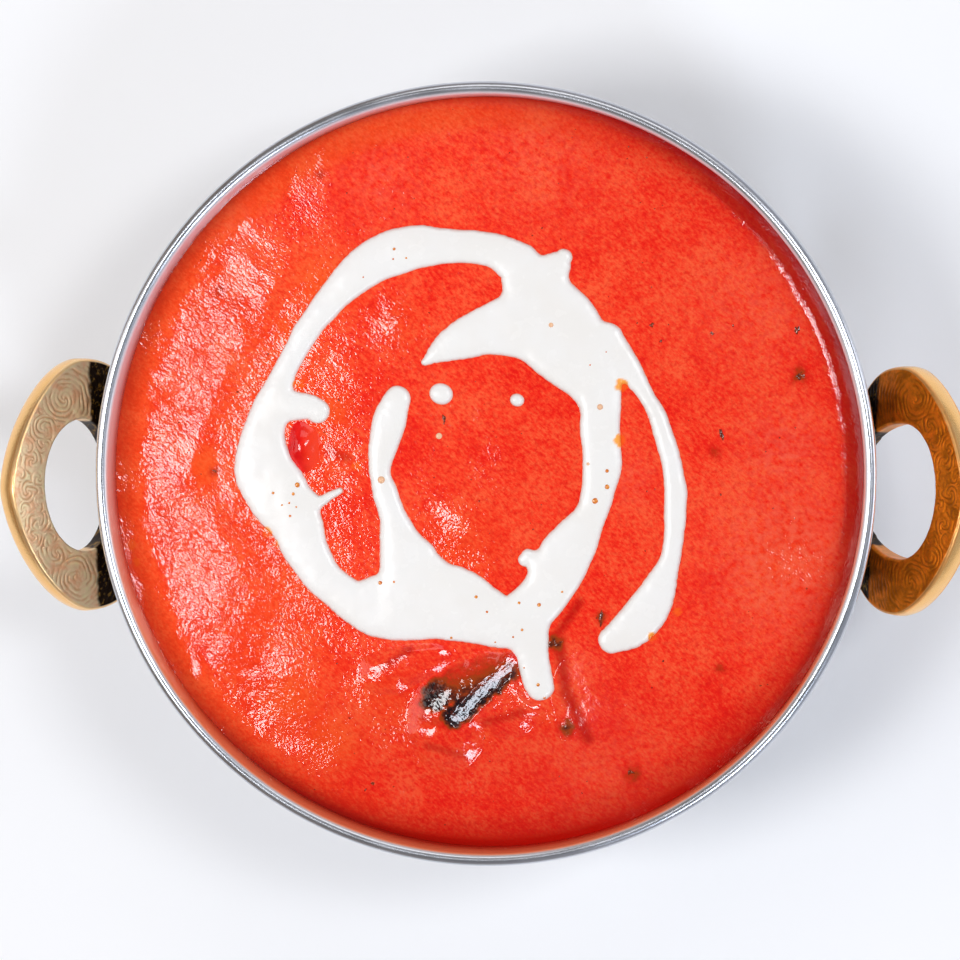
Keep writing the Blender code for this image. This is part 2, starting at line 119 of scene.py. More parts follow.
# azimuth, half width along the rim, the hole's half axis on the bowl's side, 1 where its face is painted
# as the shaded, amber brass and 0 as the lit, pale one, and s where the painted shade beside the wall begins
HANDLES = {
    "handle_right": (-2.3, 24.9, 16.5, 1.0, -6.4),
    "handle_left": (182.0, 25.8, 8.0, 0.0, 0.4),
}
# scrolls engraved along the middle of an ear: u, share of the way from hole to tip, size, way it turns
SCROLLS = (
    (-13.4, 0.50, 1.2, 1), (-10.6, 0.30, 0.8, -1), (-9.6, 0.74, 0.9, 1), (-6.6, 0.45, 1.1, -1),
    (-4.0, 0.76, 0.8, 1), (-3.2, 0.26, 0.8, 1), (-0.4, 0.52, 1.1, 1), (2.2, 0.24, 0.8, -1),
    (2.8, 0.80, 0.8, -1), (5.6, 0.48, 1.1, -1), (8.4, 0.76, 0.9, -1), (9.0, 0.28, 0.8, 1),
    (12.0, 0.52, 1.2, 1),
)
VOLUTES = ((-18.6, 5.4, 2.2, -1), (17.8, 6.8, 2.2, 1))  # u, s, size, way it turns
SCROLL_PITCH = 1.05
SCROLL_ARMS = 3  # lines that wind out of each scroll together
# lit and shaded copies of one brass, the pale face painted as lit and the amber one as in shade: tones over
# its patches, and the colour of its grooves
BRASSES = (
    (((0.36, (0.96, 0.56, 0.32)), (0.5, (0.99, 0.74, 0.47)), (0.66, (0.97, 0.80, 0.49))),
     (0.78, 0.46, 0.24)),
    (((0.35, (0.44, 0.12, 0.006)), (0.5, (0.72, 0.19, 0.010)), (0.66, (0.95, 0.25, 0.018))),
     (0.42, 0.115, 0.006)),
)

# sauce
LEVEL = 48.0
CURRY_GAP = 0.02  # between the sauce and the steel
CURRY_RADIUS = INNER_RADIUS - CURRY_GAP
RING_GRID = 291  # points along a side of the grid of its surface
BELLY_ROWS = 7
EDGE_BAND = 5.0
EDGE_FALL = 0.2
LEFT_BAND = 10.0  # on the left the sauce clings to the wall and rises towards it
LEFT_RISE = 1.0
LEFT_SIDE = (-10.0, -55.0)  # x between which its edge changes from a fall to a rise
CALM = 0.45  # share of the swells that is left where the sauce is smooth
BED = (3.5, 9.0)  # distances from the cream between which the swells begin
GRAIN_SIDE = (-20.0, -44.0)  # x between which the sauce becomes coarse
GRAIN_BACK = 22.0  # beyond this y that lies further left, by a share of the distance
GRAIN_SLANT = 0.6
SMOOTH_BAND = (2.5, 9.0)  # and distances from the wall between which it does
# noises as height, length and shift, or as height, length, width and shift where they are drawn out
RIPPLE = (0.35, 9.0, 0.0)
BAND_WAVER = ((3.0, 9.0, 12.0), (1.2, 3.0, 14.0))
SKIN_WAVER = ((0.5, 5.0, 4.0), (0.2, 1.4, 5.0))
LUMPS = ((0.22, 6.5, 3.4, 2.0), (0.10, 3.4, 1.7, 5.0))
GRAIN = (0.05, 1.4, 8.0)
CALM_LUMPS = 0.07  # share of the lumps and of the grain that is left in smooth sauce
CALM_GRAIN = 0.2
SKIN_STEP = 0.16  # on the right a skin on the sauce ends in a small step
SKIN_FROM_WALL = 3.6
SKIN_SPAN = (-14.0, 56.0)  # azimuths between which it does
SKIN_SOFTNESS = 0.35
SKIN_FADE = 5.0  # degrees over which it fades out
# painted shade, as how much deeper red the sauce is painted: in the shadow of the wall and along all of it,
# as strength and reach
WALL_SHADE = (0.85, 3.2)
WALL_LINE = (0.5, 1.2)
SHADED_SIDE = (-50.0, 30.0)  # the shade begins and is whole at these x, which slant with y
SHADE_SLANT = 0.35
# more painted shade: over the shaded side, towards the front, and beyond the skin's step on the right
OPEN_SHADE = 0.08
FRONT_SHADE = 0.16
FRONT = (-30.0, -62.0)
BEYOND_SKIN = 0.72
# how oily it is: in a band beside the wall on the left, and where it is coarse, smooth or stands in pools
BAND_OIL = 0.35
OIL_BAND = (8.0, 4.5)
COARSE_OIL = 0.25
SMOOTH_OIL = 0.5
POOL_OIL = 0.8
STREAK_TURN = -40.0  # direction in which the grain of the sauce is drawn out
# swells, as where chunks lie just under the surface: x, y, radius, height
SWELLS = (
    (-45, 17, 10, 1.0), (-61, 2, 6, 0.7), (-55, 12, 5, 0.3), (-50, -12, 9, 0.9), (-40, -9, 6, 0.5),
    (-52, -30, 9, 0.9), (-36, -44, 9, 0.9), (-29, -57, 8, 0.6), (-41, 33, 9, 0.65), (-16, 30, 8, 0.6),
    (-4, -12, 9, 0.8), (-30, -1, 4, 0.8), (-55, 0, 5, 0.35),
    (12, 62, 10, 0.5), (52, 34, 10, 0.6), (58, -8, 9, 0.6), (46, -40, 10, 0.7), (36, -58, 8, 0.6),
    (4, -64, 8, 0.3), (7, 6, 8, 0.5),
)

# where the photograph shows coarse or smooth oily sauce, as column and row, and radius in millimetres
COARSE_PATCHES = (
    (460, 550, 8), (378, 700, 9), (790, 560, 8), (218, 252, 6), (246, 664, 7), (395, 325, 4.5),
    (152, 335, 4), (127, 480, 3.2), (126, 530, 3.2), (129, 590, 3.2), (338, 475, 2.8), (386, 700, 1.6),
    (398, 718, 1.6), (409, 738, 1.6), (422, 758, 1.5), (442, 772, 1.5), (484, 735, 2), (433, 718, 2.2),
    (548, 718, 1.8),
)
COARSE_SHARE = 0.8  # how coarse it is there
SMOOTH_SHARE = 0.9  # how much of that a smooth patch takes away
SMOOTH_PATCHES = (
    (205, 466, 5.5), (234, 474, 5.5), (185, 452, 4), (290, 700, 7), (330, 740, 6), (324, 285, 6.5),
    (290, 330, 4), (332, 410, 4), (234, 281, 5),
)
# where it is dull, and where it is painted paler pink, as a painted sheen of light at the right and upper
# left: place, radius, strength
DULL_PATCHES = ((584, 668, 5.5, 0.35), (600, 715, 6, 0.3), (400, 655, 4, 0.2))
HAZE_PATCHES = (
    (795, 560, 15, 0.85), (760, 300, 14, 0.35), (600, 780, 14, 0.3), (540, 150, 16, 0.35),
    (785, 450, 9, 0.6), (380, 180, 11, 0.4), (240, 232, 6, 0.5), (632, 480, 5, 0.4),
)
# painted shade in troughs, where the sauce is painted deep red: their ends in the photograph, half width in
# millimetres, strength
SHADED_TROUGHS = (
    ((560, 650), (566, 690), 2.4, 0.8), ((566, 692), (588, 738), 2.8, 0.8),
    ((378, 670), (410, 650), 1.5, 0.6), ((556, 636), (580, 602), 1.8, 0.7),
    ((329, 451), (347, 458), 1.6, 0.5), ((486, 722), (522, 712), 2.2, 0.6),
    ((428, 745), (470, 756), 2, 0.6), ((424, 716), (452, 726), 2.2, 0.5),
)

# cream: each stroke as x, y, half width along its middle line
CREAM_BASE = 48.0
CREAM_HEIGHT = 1.5
CREAM_ROUND = 2.0
CREAM_SHOULDER = 6.0  # the higher, the steeper it rises at its edge
CREAM_SUNK = 0.6  # how far its underside lies under its rim
CREAM_GRID = 0.3
CREAM_MARGIN = 10.0  # of the grid round the strokes
CREAM_SAMPLES = 1.5  # distance of samples along a stroke
SLOPE_STEP = 0.02  # over which the slope of its depth is taken
LEAST_SLOPE = 0.2  # least square of that slope
CREAM_BLEND = 1.4  # how far two strokes flow into each other
# noises as height, length and shift: the waves along its edge, and on its surface as shares of its height
CREAM_WAVES = ((0.25, 4.5, 0.25), (0.08, 1.1, 0.08))
CREAM_SWELL = ((0.10, 7, 3), (0.025, 2.6, 9))
CREAM_STROKES = {
    "ring": (
        (6.6, 42.2, 4.5), (1.2, 45.1, 3.5), (-7.2, 45.9, 3.5), (-16, 45.4, 4.6), (-23.7, 42.3, 4.3),
        (-31, 35.8, 3.2), (-37.1, 27.9, 2.6), (-40.9, 20.6, 2.5), (-43.5, 14.2, 3.6), (-45.5, 7, 4.6),
        (-45.4, 0.9, 6.1), (-42.3, -4.8, 6.6), (-39, -9.7, 5.5), (-37.1, -15.1, 4.7), (-34.2, -20, 4.1),
        (-30.2, -23.9, 3.8), (-26, -26.5, 4.6), (-19.7, -27.1, 6.9), (-9.3, -25.8, 7.9), (-0.8, -28.6, 6),
        (4.6, -30, 5.1), (11.4, -24.9, 5), (16.1, -16.4, 5.4), (21.2, -8, 3.3), (23.4, 0.9, 3.9),
        (23.1, 8.9, 4), (22.9, 15, 4.4), (20.4, 21.5, 6.7), (15, 28, 8.9), (11.1, 34, 7.4),
        (8.2, 39.4, 5.2),
    ),
    "branch": (
        (9, 30.6, 7.5), (0.5, 29, 4.9), (-4.9, 27, 4), (-9.2, 24.9, 2.4), (-12.4, 22.6, 0.9),
    ),
    "capsule": (
        (-18, 15, 2.7), (-19.3, 12, 3.3), (-20.2, 8.6, 3.4), (-21.5, 2.3, 2.5), (-21.5, -0.7, 2.2),
        (-20.4, -4.4, 2.6), (-18.7, -9.4, 2.9), (-17.4, -14.5, 4.4), (-14.7, -20.3, 6.8),
    ),
    "tail": (
        (24.3, 27, 3.5), (29.5, 20.2, 2.4), (32.2, 16.2, 1.6), (34.9, 11, 1.9), (37.1, 3.6, 2),
        (38.3, -4.3, 2.3), (37.8, -13.5, 2), (36.6, -18.8, 2.4), (34.1, -25, 3.9), (30.2, -30.4, 4.2),
        (25.5, -33.5, 2.8),
    ),
    "drip": ((8.2, -31.5, 4.6), (9.3, -36.6, 3.5), (10.3, -40.8, 3.2), (11, -43.1, 2.8)),
    "nub": ((10.8, 38.4, 5.1), (14.5, 42, 2.8), (15.6, 43.4, 1.9)),
    "left_nub": ((-40.9, 13.6, 3.3), (-35.9, 13.5, 2.6), (-34.3, 12.5, 2.5)),
    "thread": ((-37.9, -5.5, 2.8), (-34.2, -5.9, 1.3), (-32, -4.7, 1), (-29.8, -3.6, 0.8)),
    "lip": ((11.6, -18.8, 2.4), (8.7, -16.7, 1.6), (7.8, -17.4, 1.3)),
}
CREAM_DROPS = {"cream_drop_large": (-9.1, 16.1, 2.3), "cream_drop_small": (6.3, 14.9, 1.4)}
DROP_OVAL = 0.06  # share of its radius by which a drop is longer one way, and that way
DROP_TURN = 0.6

# places in the photograph, as column and row, with sizes in millimetres
# pools of orange oil at the rim of the cream: radius
OIL_RAGGED = (0.5, 1.1, 6)  # a noise as height, length and shift
OIL_POOLS = (
    (357, 466, 1), (299, 384, 1.2), (622, 385, 1.4), (620, 440, 1.3), (652, 636, 1), (677, 612, 0.9),
    (268, 532, 1.2), (276, 544, 0.9), (132, 545, 1.3), (137, 562, 0.8),
)
# drops of oil on the cream: radius
OIL_DROPS = (
    (297, 485, 0.55), (293, 494, 0.36), (289, 503, 0.32), (296, 507, 0.24), (273, 493, 0.3), (282, 505, 0.24),
    (290, 516, 0.3), (607, 487, 0.48), (595, 501, 0.62), (607, 471, 0.36), (380, 583, 0.4), (394, 582, 0.3),
    (476, 597, 0.36), (519, 603, 0.3), (487, 612, 0.26), (539, 605, 0.4), (522, 630, 0.3), (513, 637, 0.24),
    (538, 685, 0.36), (544, 698, 0.3), (562, 592, 0.26), (394, 249, 0.3), (406, 258, 0.22), (393, 259, 0.2),
    (363, 277, 0.24), (451, 638, 0.26), (495, 642, 0.24), (524, 668, 0.2), (606, 352, 0.26), (590, 365, 0.2),
)
# bubbles in the cream: radius
BUBBLES = ((381, 480, 0.75), (600, 407, 0.6), (551, 325, 0.5), (588, 464, 0.35))
FLECKS = ((439, 436, 0.65),)  # flecks of cream on the sauce: radius
# char that shows through the sauce: radius, strength; the noises that warp its outline, one for each axis
SMUDGE_WARP = ((0.8, 1.6, 31), (0.8, 1.6, 37))
SMUDGES = (
    (800, 375, 1.6, 0.45), (220, 289, 1.2, 0.3), (632, 774, 1.8, 0.35), (715, 452, 1.3, 0.25),
    (320, 175, 1, 0.25), (601, 618, 1.2, 0.45), (567, 728, 1.6, 0.7), (556, 643, 1.6, 0.7),
    (720, 668, 1.1, 0.3), (215, 471, 1, 0.3),
)
# burnt bits that lie in the sauce: half width, half height, turn in degrees
CHAR_BITS = (
    (555, 643, 1.6, 0.8, 12), (601, 619, 0.6, 1.5, -8), (568, 725, 1.1, 0.9, 30), (373, 783, 0.4, 0.35, 0),
    (630, 730, 0.5, 0.4, 40), (444, 420, 0.5, 0.9, 15), (721, 436, 0.5, 1.2, 5), (797, 330, 0.6, 0.7, 0),
    (800, 376, 0.9, 0.8, 20), (652, 325, 0.5, 0.4, 0), (712, 333, 0.4, 0.4, 0), (661, 341, 0.3, 0.3, 0),
    (215, 471, 0.5, 0.3, 0), (632, 772, 0.7, 0.5, 0),
)
BIT_CHAR = 0.62  # how burnt they are
BIT_THICKNESS = 0.25
# specks of ground spice, clear of the wall, the cream and, as a ratio of their size, the chunks
SPECKS = 170
SPECK_RADII = (0.09, 0.26)
SPECK_FROM_WALL = 2.0
SPECK_FROM_CREAM = 1.5
SPECK_FROM_CHUNK = 1.3

# chunks that stand out of the sauce, as lobes: centre from the level, half axes, turn
CHUNKS = {
    "chicken_charred": (
        ((-3.8, -45.0, -1.6), (10.0, 6.0, 5.6), 27),
        ((0.8, -40.8, -2.0), (5.0, 3.8, 4.6), 20),
        ((-8.2, -52.4, -1.8), (6.0, 6.6, 5.0), 12),
        ((-11.0, -48.8, -1.8), (3.4, 3.4, 4.6), 0),
        ((3.6, -47.4, -2.2), (5.4, 4.6, 4.4), 0),
    ),
    "chicken_left": (
        ((-15.8, -38.6, -1.8), (7.2, 3.4, 4.2), 14),
        ((-20.2, -40.6, -2.0), (4.2, 3.2, 3.8), 0),
    ),
    "chicken_right": (
        ((21.6, -44.6, -2.4), (5.0, 5.6, 4.8), 0),
        ((23.0, -50.4, -2.6), (4.8, 5.2, 4.6), 0),
    ),
    "tomato_piece": (((-37.3, 5.3, -1.2), (3.2, 4.9, 3.0), 6),),
}
CHUNK_SLOTS = {
    "chicken_charred": "charred_chicken", "chicken_left": "sauced_chicken", "chicken_right": "sauced_chicken",
    "tomato_piece": "tomato",
}
CHUNK_GRID = 0.25
# share of a lobe's height that stands out, since sauce has settled round it; how far it spreads; a power:
# the higher, the flatter its top; and the flow, which is how far the sauce and the chunk run into each other
CHUNK_FORMS = {
    "chicken_charred": (0.5, 1.08, 3.0, 2.0), "chicken_left": (0.5, 1.08, 3.0, 2.0),
    "chicken_right": (0.10, 1.25, 4.0, 0.8), "tomato_piece": (0.95, 0.86, 2.6, 2.0),
}
CHUNK_WARP = ((0.55, 3.2, 51.0), (0.55, 3.2, 53.0))  # noises that warp its outline, one for each axis
CHUNK_MARGIN = 4.0  # of the grid round its lobes
CHUNK_RELIEF = ((0.05, 3.6, 21.0), (0.045, 1.3, 22.0))
CHUNK_COARSE = 0.65  # share of the coarseness that is lost on a chunk
LOBE_FLOW = 1.0  # how far the lobes of a chunk flow into each other
SEAM = -0.6  # where a chunk begins: its form's height over the sauce, in flows
SEAM_REACH = 0.35
SEAM_DEPTH = 0.15  # beyond the seam each lies this far under the other, times the flow
SEAM_LIFT = 0.02
SEAM_FADE = 0.9  # beyond it a chunk's own relief begins
# beside the cream a chunk only rises between these distances from it, so that it doesn't cut into the cream
CREAM_CLEARANCE = {
    "chicken_charred": (0.0, 2.0), "chicken_left": (0.0, 2.0), "chicken_right": (0.0, 12.0),
    "tomato_piece": (-0.8, 0.6),
}
CHUNK_FOOT = 0.6  # least thickness of a chunk's rim
FOLD = ((459, 718), (512, 661))  # middle of the charred skin's turned down edge, in the photograph
FOLD_WIDTH = 2.7
FOLD_HEIGHT = 1.15
FOLD_SLOPE = 0.36
FOLD_RAGGED = (0.7, 1.4, 41.0)
FOLD_RIDGES = (0.05, 4.0, 0.8, 43.0)
FOLD_CALM = 0.75  # share of the relief that is lost on it
# the burnt skin as bars in the photograph, by their ends and half width, and the brown one between them
CRUST_BARS = (((436, 694), (500, 662), 6.0), ((454, 716), (514, 664), 4.3))
BROWN_BAR = ((456, 672), (498, 656), 7.5)
BROWN = 0.78
CRUST_RAGGED = ((0.21, 2.0, 4.0), (0.154, 0.8, 5.0))  # noises as height, length and shift
CRUMB = ((0.08, 1.6, 1.0), (0.06, 0.7, 2.0))
CHARRED_GRAIN = ((508, 698, 4.2),)  # the coarse sauce on it, and how coarse it is where it is burnt
CRUST_GRAIN = 0.12
SAUCED_SIDE = (-1.0, 2.6)  # x from a piece's middle between which sauce covers it


# ---------------------------------------------------------------- meshes

def noise_at(points, length, shift=0.0):
    """Smooth noise from -1 to 1 at each point, with bumps of about one length."""
    scaled = np.asarray(points, float) / length + shift
    if scaled.shape[1] == 2:
        scaled = np.column_stack([scaled, np.full(len(scaled), shift)])
    return np.fromiter((noise.noise(p) for p in scaled), float, len(scaled))


def smooth_step(low, high, value):
    t = np.clip((value - low) / (high - low), 0.0, 1.0)
    return t * t * (3.0 - 2.0 * t)


def smooth_max(a, b, blend):
    return np.maximum(a, b) + np.maximum(0.0, blend - np.abs(a - b)) ** 2 / (4.0 * blend)


def waves(x, y, *layers):
    """Unevenness in plan: a sum of noises, each as its height, length and shift."""
    flat = np.column_stack([x.ravel(), y.ravel()])
    return sum(height * noise_at(flat, length, shift) for height, length, shift in layers).reshape(x.shape)


def warped(x, y, along_x, along_y):
    return x + waves(x, y, along_x), y + waves(x, y, along_y)


def along_across(x, y, turn):
    """Coordinates along and across a direction in plan, turned by so many degrees."""
    c, s = math.cos(math.radians(turn)), math.sin(math.radians(turn))
    return x * c + y * s, y * c - x * s


def streaks(x, y, turn, *layers):
    """Noises drawn out along a direction in plan, each as its height, length, width and shift."""
    along, across = along_across(x, y, turn)
    return sum(waves(along / length, across / width, (height, 1.0, shift))
               for height, length, width, shift in layers)


def bell(x, y, centre, radius):
    """1 at a place in plan, falling to 0 around it."""
    return np.exp(-((x - centre[0]) ** 2 + (y - centre[1]) ** 2) / radius ** 2)


def plan_grid(low, high, step):
    return np.meshgrid(*(np.arange(a, b, step) for a, b in zip(low, high)), indexing="ij")


def make_object(name, points, faces, mat, attributes=None, triangles=(), sharp=None):
    """A smooth-shaded mesh object from points in millimetres, with values per point for its material."""
    mesh = bpy.data.meshes.new(name)
    corners = np.asarray(faces).tolist() + np.asarray(triangles).tolist()
    mesh.from_pydata((np.asarray(points, float) * MM).tolist(), [], corners)
    for key, values in (attributes or {}).items():
        mesh.attributes.new(key, "FLOAT", "POINT").data.foreach_set("value", np.asarray(values, float))
    mesh.shade_smooth()
    if sharp is not None:
        mesh.set_sharp_from_angle(angle=math.radians(sharp))
    mesh.materials.append(mat)
    thing = bpy.data.objects.new(name, mesh)
    bpy.context.scene.collection.objects.link(thing)
    return thing


def numbered(rows, columns):
    """The numbers of a grid's points, row by row."""
    return np.arange(rows * columns).reshape(rows, columns)


def closed(number, across=False):
    """Point numbers whose first row, or first column, comes again at the end."""
    return np.pad(number, ((0, 0), (0, 1)) if across else ((0, 1), (0, 0)), mode="wrap")


def cells(number):
    """The four corners of each cell between neighbours in a grid of point numbers."""
    return np.stack([number[:-1, :-1], number[1:, :-1], number[1:, 1:], number[:-1, 1:]], -1)


def fan(loop, tip):
    """Triangles between a closed row of points and one more point."""
    return np.column_stack([np.full(len(loop), tip), np.roll(loop, -1), loop])


def place(piece, slot, *nodes):
    """Makes a piece ride on the part and stand for the CAD nodes, which it hides; the slot is not used."""
    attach(piece, "root")
    if nodes:
        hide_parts(*nodes)


# ---------------------------------------------------------------- materials

class Nodes:
    """A node tree that grows node by node. A name given as a value stands for the mesh's values per point."""

    def __init__(self, tree):
        self.tree = tree

    def add(self, kind, inputs=None, **settings):
        node = self.tree.nodes.new(kind)
        for key, value in settings.items():
            setattr(node, key, value)
        for key, value in (inputs or {}).items():
            self.feed(node.inputs[key], value)
        return node

    def feed(self, socket, value):
        if isinstance(value, str):
            value = self.add("ShaderNodeAttribute", attribute_name=value).outputs["Fac"]
        if isinstance(value, bpy.types.NodeSocket):
            self.tree.links.new(value, socket)
        else:
            socket.default_value = value

    def ramp(self, value, *stops):
        """A colour ramp of (position, colour) stops."""
        node = self.add("ShaderNodeValToRGB", {"Fac": value})
        elements = node.color_ramp.elements
        for _ in stops[2:]:
            elements.new(0.5)
        for element, (position, colour) in zip(elements, stops):
            element.position = position
            element.color = (*colour, 1.0)
        return node.outputs["Color"]

    def spread(self, value, low, high, to_low=0.0, to_high=1.0):
        inputs = {"Value": value, "From Min": low, "From Max": high, "To Min": to_low, "To Max": to_high}
        return self.add("ShaderNodeMapRange", inputs).outputs["Result"]

    def math(self, operation, a, b):
        node = self.add("ShaderNodeMath", operation=operation)
        self.feed(node.inputs[0], a)
        self.feed(node.inputs[1], b)
        return node.outputs["Value"]

    def mix(self, factor, a, b):
        node = self.add("ShaderNodeMix", {"Factor": factor}, data_type="RGBA")
        for socket, value in ((node.inputs[6], a), (node.inputs[7], b)):
            self.feed(socket, value if isinstance(value, bpy.types.NodeSocket) else (*value, 1.0))
        return node.outputs[2]


class Look(Nodes):
    """A Principled material, whose lengths are given in millimetres."""

    def __init__(self, name, **constants):
        self.material = bpy.data.materials.new(name)
        self.material.use_nodes = True
        super().__init__(self.material.node_tree)
        self.inputs = self.tree.nodes["Principled BSDF"].inputs
        self.spot = self.add("ShaderNodeTexCoord").outputs["Object"]
        for key, value in constants.items():
            self.inputs[key.replace("_", " ")].default_value = value

    def noise(self, length, detail=2.0, roughness=0.5, vector=None):
        """Noise whose bumps are about one length across."""
        inputs = {"Scale": 1.0 / (length * MM), "Detail": detail, "Roughness": roughness}
        inputs["Vector"] = vector or self.spot
        return self.add("ShaderNodeTexNoise", inputs).outputs["Fac"]

    def uneven(self, low, high, *noise):
        """A value that wavers between two others."""
        return self.spread(self.noise(*noise), 0.3, 0.7, low, high)

    def drawn_out(self, turn, stretch):
        """Coordinates that draw a texture out along a direction in plan, turned by so many degrees."""
        inputs = {"Vector": self.spot, "Rotation": (0.0, 0.0, math.radians(turn))}
        inputs["Scale"] = (stretch, 1.0, 1.0)
        return self.add("ShaderNodeMapping", inputs, vector_type="TEXTURE").outputs["Vector"]

    def colour(self, value):
        self.feed(self.inputs["Base Color"], value)

    def rough(self, value):
        self.feed(self.inputs["Roughness"], value)

    def bump(self, height, depth, strength=1.0):
        """Bump from a height of 0 to 1, over the bumps that were added before it."""
        inputs = {"Height": height, "Distance": depth * MM, "Strength": strength}
        before = self.inputs["Normal"]
        if before.is_linked:
            inputs["Normal"] = before.links[0].from_socket
        self.feed(before, self.add("ShaderNodeBump", inputs).outputs["Normal"])


def steel_look():
    """Stainless steel with fine rings left by turning and faint stains; inside it is matt and painted pale as
    the bright light it reflects, and at the front the sauce's reflection is painted on it.
    """
    look = Look("rim_steel")
    look.feed(look.inputs["Metallic"], look.spread("matt_and_painted_sheen", 0.0, 1.0, 1.0, 0.3))
    place_at = look.add("ShaderNodeSeparateXYZ", {"Vector": look.spot}).outputs
    squares = look.math("ADD", look.math("POWER", place_at["X"], 2.0), look.math("POWER", place_at["Y"], 2.0))
    across = look.math("ADD", look.math("POWER", squares, 0.5), place_at["Z"])
    fine = {"W": across, "Scale": 4500.0, "Detail": 3.0}
    rings = look.add("ShaderNodeTexNoise", fine, noise_dimensions="1D").outputs["Fac"]
    steel = look.ramp(look.noise(16.0, 4.0), (0.35, (0.58, 0.60, 0.65)), (0.65, (0.65, 0.67, 0.73)))
    # painted reflections: pale bluish for the bright light the wall reflects inside, orange for the sauce it
    # reflects at the front
    look.colour(look.mix("oil_film_and_reflection", look.mix("matt_and_painted_sheen", steel, (0.80, 0.80, 0.86)), (0.78, 0.27, 0.07)))
    look.rough(look.math("ADD", look.uneven(0.22, 0.28, 9.0, 3.0), look.math("MULTIPLY", "matt_and_painted_sheen", 0.15)))
    look.bump(rings, 0.02, 0.2)
    return look.material


def brass_look():
    """Worn cast brass: engraved faces painted pale where lit and amber where in shade, darker in the grooves,
    polished edges, and painted shade at the root beside the wall.
    """
    look = Look("cast_brass", Metallic=1.0)
    patchy = look.noise(2.4, 4.0, 0.6)
    line = look.spread("groove", 0.1, 1.0)
    # lit and shaded copies of one brass: a pale tone painted as the lit face, an amber one as the face in
    # shade
    lit_face, shaded_face = (look.mix(line, look.ramp(patchy, *tones), line_colour) for tones, line_colour in BRASSES)
    bright = look.mix(look.noise(7.0, 2.0), (0.98, 0.54, 0.17), (0.98, 0.63, 0.29))
    base = look.mix("polish", look.mix("shaded_face", lit_face, shaded_face), bright)
    streak = look.noise(0.8, 3.0, 0.6, look.drawn_out(35.0, 3.0))
    # painted shade at the root of the ear beside the wall: dark streaky tones
    root_shade_tone = look.mix(look.spread(streak, 0.55, 0.68), (0.020, 0.010, 0.006), (0.30, 0.16, 0.03))
    look.colour(look.mix("root_shade", base, root_shade_tone))
    shine = look.math("ADD", "polish", look.math("MULTIPLY", look.noise(1.2, 3.0), 0.3))
    look.rough(look.spread(shine, 0.1, 1.2, 0.5, 0.24))
    look.bump(look.noise(0.5, 3.0), 0.05, 0.5)
    return look.material


def sauce_tone(look):
    """The colour of fresh sauce: orange-red, clouded and fine grained."""
    cloud = look.noise(9.0, 4.0, 0.6)
    grain = look.noise(0.55, 3.0, 0.7, look.drawn_out(STREAK_TURN, 1.8))
    tone = look.math("ADD", look.math("MULTIPLY", cloud, 0.4), look.math("MULTIPLY", grain, 0.6))
    fresh = look.ramp(
        tone, (0.38, (0.86, 0.012, 0.006)), (0.48, (0.96, 0.044, 0.015)), (0.60, (0.99, 0.114, 0.038)))
    mottle = look.spread(look.noise(1.2, 4.0, 0.7), 0.50, 0.66, 0.0, 0.65)
    return look.mix(mottle, fresh, (0.74, 0.009, 0.006))


def sauce_look():
    """Oily tomato sauce, painted deeper red as shade beside the wall and in troughs, and painted paler pink
    in patches, in places as a sheen of light; its values per point say what it is like.
    """
    look = Look("tikka_sauce", IOR=1.55)
    # patches painted paler pink; at the right and upper left they are a painted sheen of light
    paled = look.math("MULTIPLY", "haze", look.spread(look.noise(1.6, 3.0, 0.6), 0.35, 0.65))
    hazy = look.mix(paled, sauce_tone(look), (0.96, 0.150, 0.085))
    oily = look.mix("oil_film_and_reflection", hazy, (0.97, 0.120, 0.010))
    # painted shade: a deep red mixed in where the depth values place the wall's shadow and the troughs
    deep = look.mix("depth", oily, (0.42, 0.002, 0.0006))
    burnt = look.math("MULTIPLY", "char", look.uneven(0.65, 1.25, 1.0, 4.0, 0.65))
    crust_tone = look.ramp(
        burnt, (0.12, (0.55, 0.008, 0.002)), (0.40, (0.34, 0.044, 0.005)), (0.68, (0.095, 0.014, 0.006)),
        (0.95, (0.012, 0.004, 0.006)))
    look.colour(look.mix(look.spread(burnt, 0.02, 0.30), deep, crust_tone))
    look.rough(look.spread("dull", 0.0, 1.0, 0.085, 0.45))
    along = look.drawn_out(STREAK_TURN, 1.5)
    look.bump(look.noise(0.72, 1.5, 0.5, along), 0.25, look.spread("coarse", 0.0, 1.0, 0.12, 0.72))
    look.bump(look.noise(0.40, 1.0, 0.5, along), 0.11, look.spread("coarse", 0.0, 1.0, 0.26, 0.85))
    return look.material


def cream_look():
    """Poured cream with a peach edge where the sauce bleeds in, and oil that has floated up at its rim."""
    look = Look("poured_cream", IOR=1.38)
    clean = look.ramp(look.noise(9.0, 3.0), (0.35, (0.84, 0.82, 0.785)), (0.7, (0.86, 0.85, 0.83)))
    stained = look.mix(look.spread("edge", 0.0, 0.14, 1.0, 0.0), clean, (0.84, 0.50, 0.30))
    look.colour(look.mix("oil", stained, (0.98, 0.40, 0.07)))
    look.rough(look.uneven(0.20, 0.30, 3.0))
    look.bump(look.noise(5.0, 2.0), 0.12, 0.4)
    return look.material


def tomato_look():
    """A wet piece of tomato, with sauce on its right."""
    look = Look("wet_tomato", IOR=1.5)
    red = look.ramp(look.noise(2.0, 3.0), (0.35, (0.66, 0.002, 0.004)), (0.7, (0.86, 0.010, 0.008)))
    look.colour(look.mix("sauced", red, (0.94, 0.046, 0.010)))
    look.rough(look.uneven(0.06, 0.14, 1.0))
    look.bump(look.noise(1.4, 2.0), 0.10, 0.3)
    return look.material


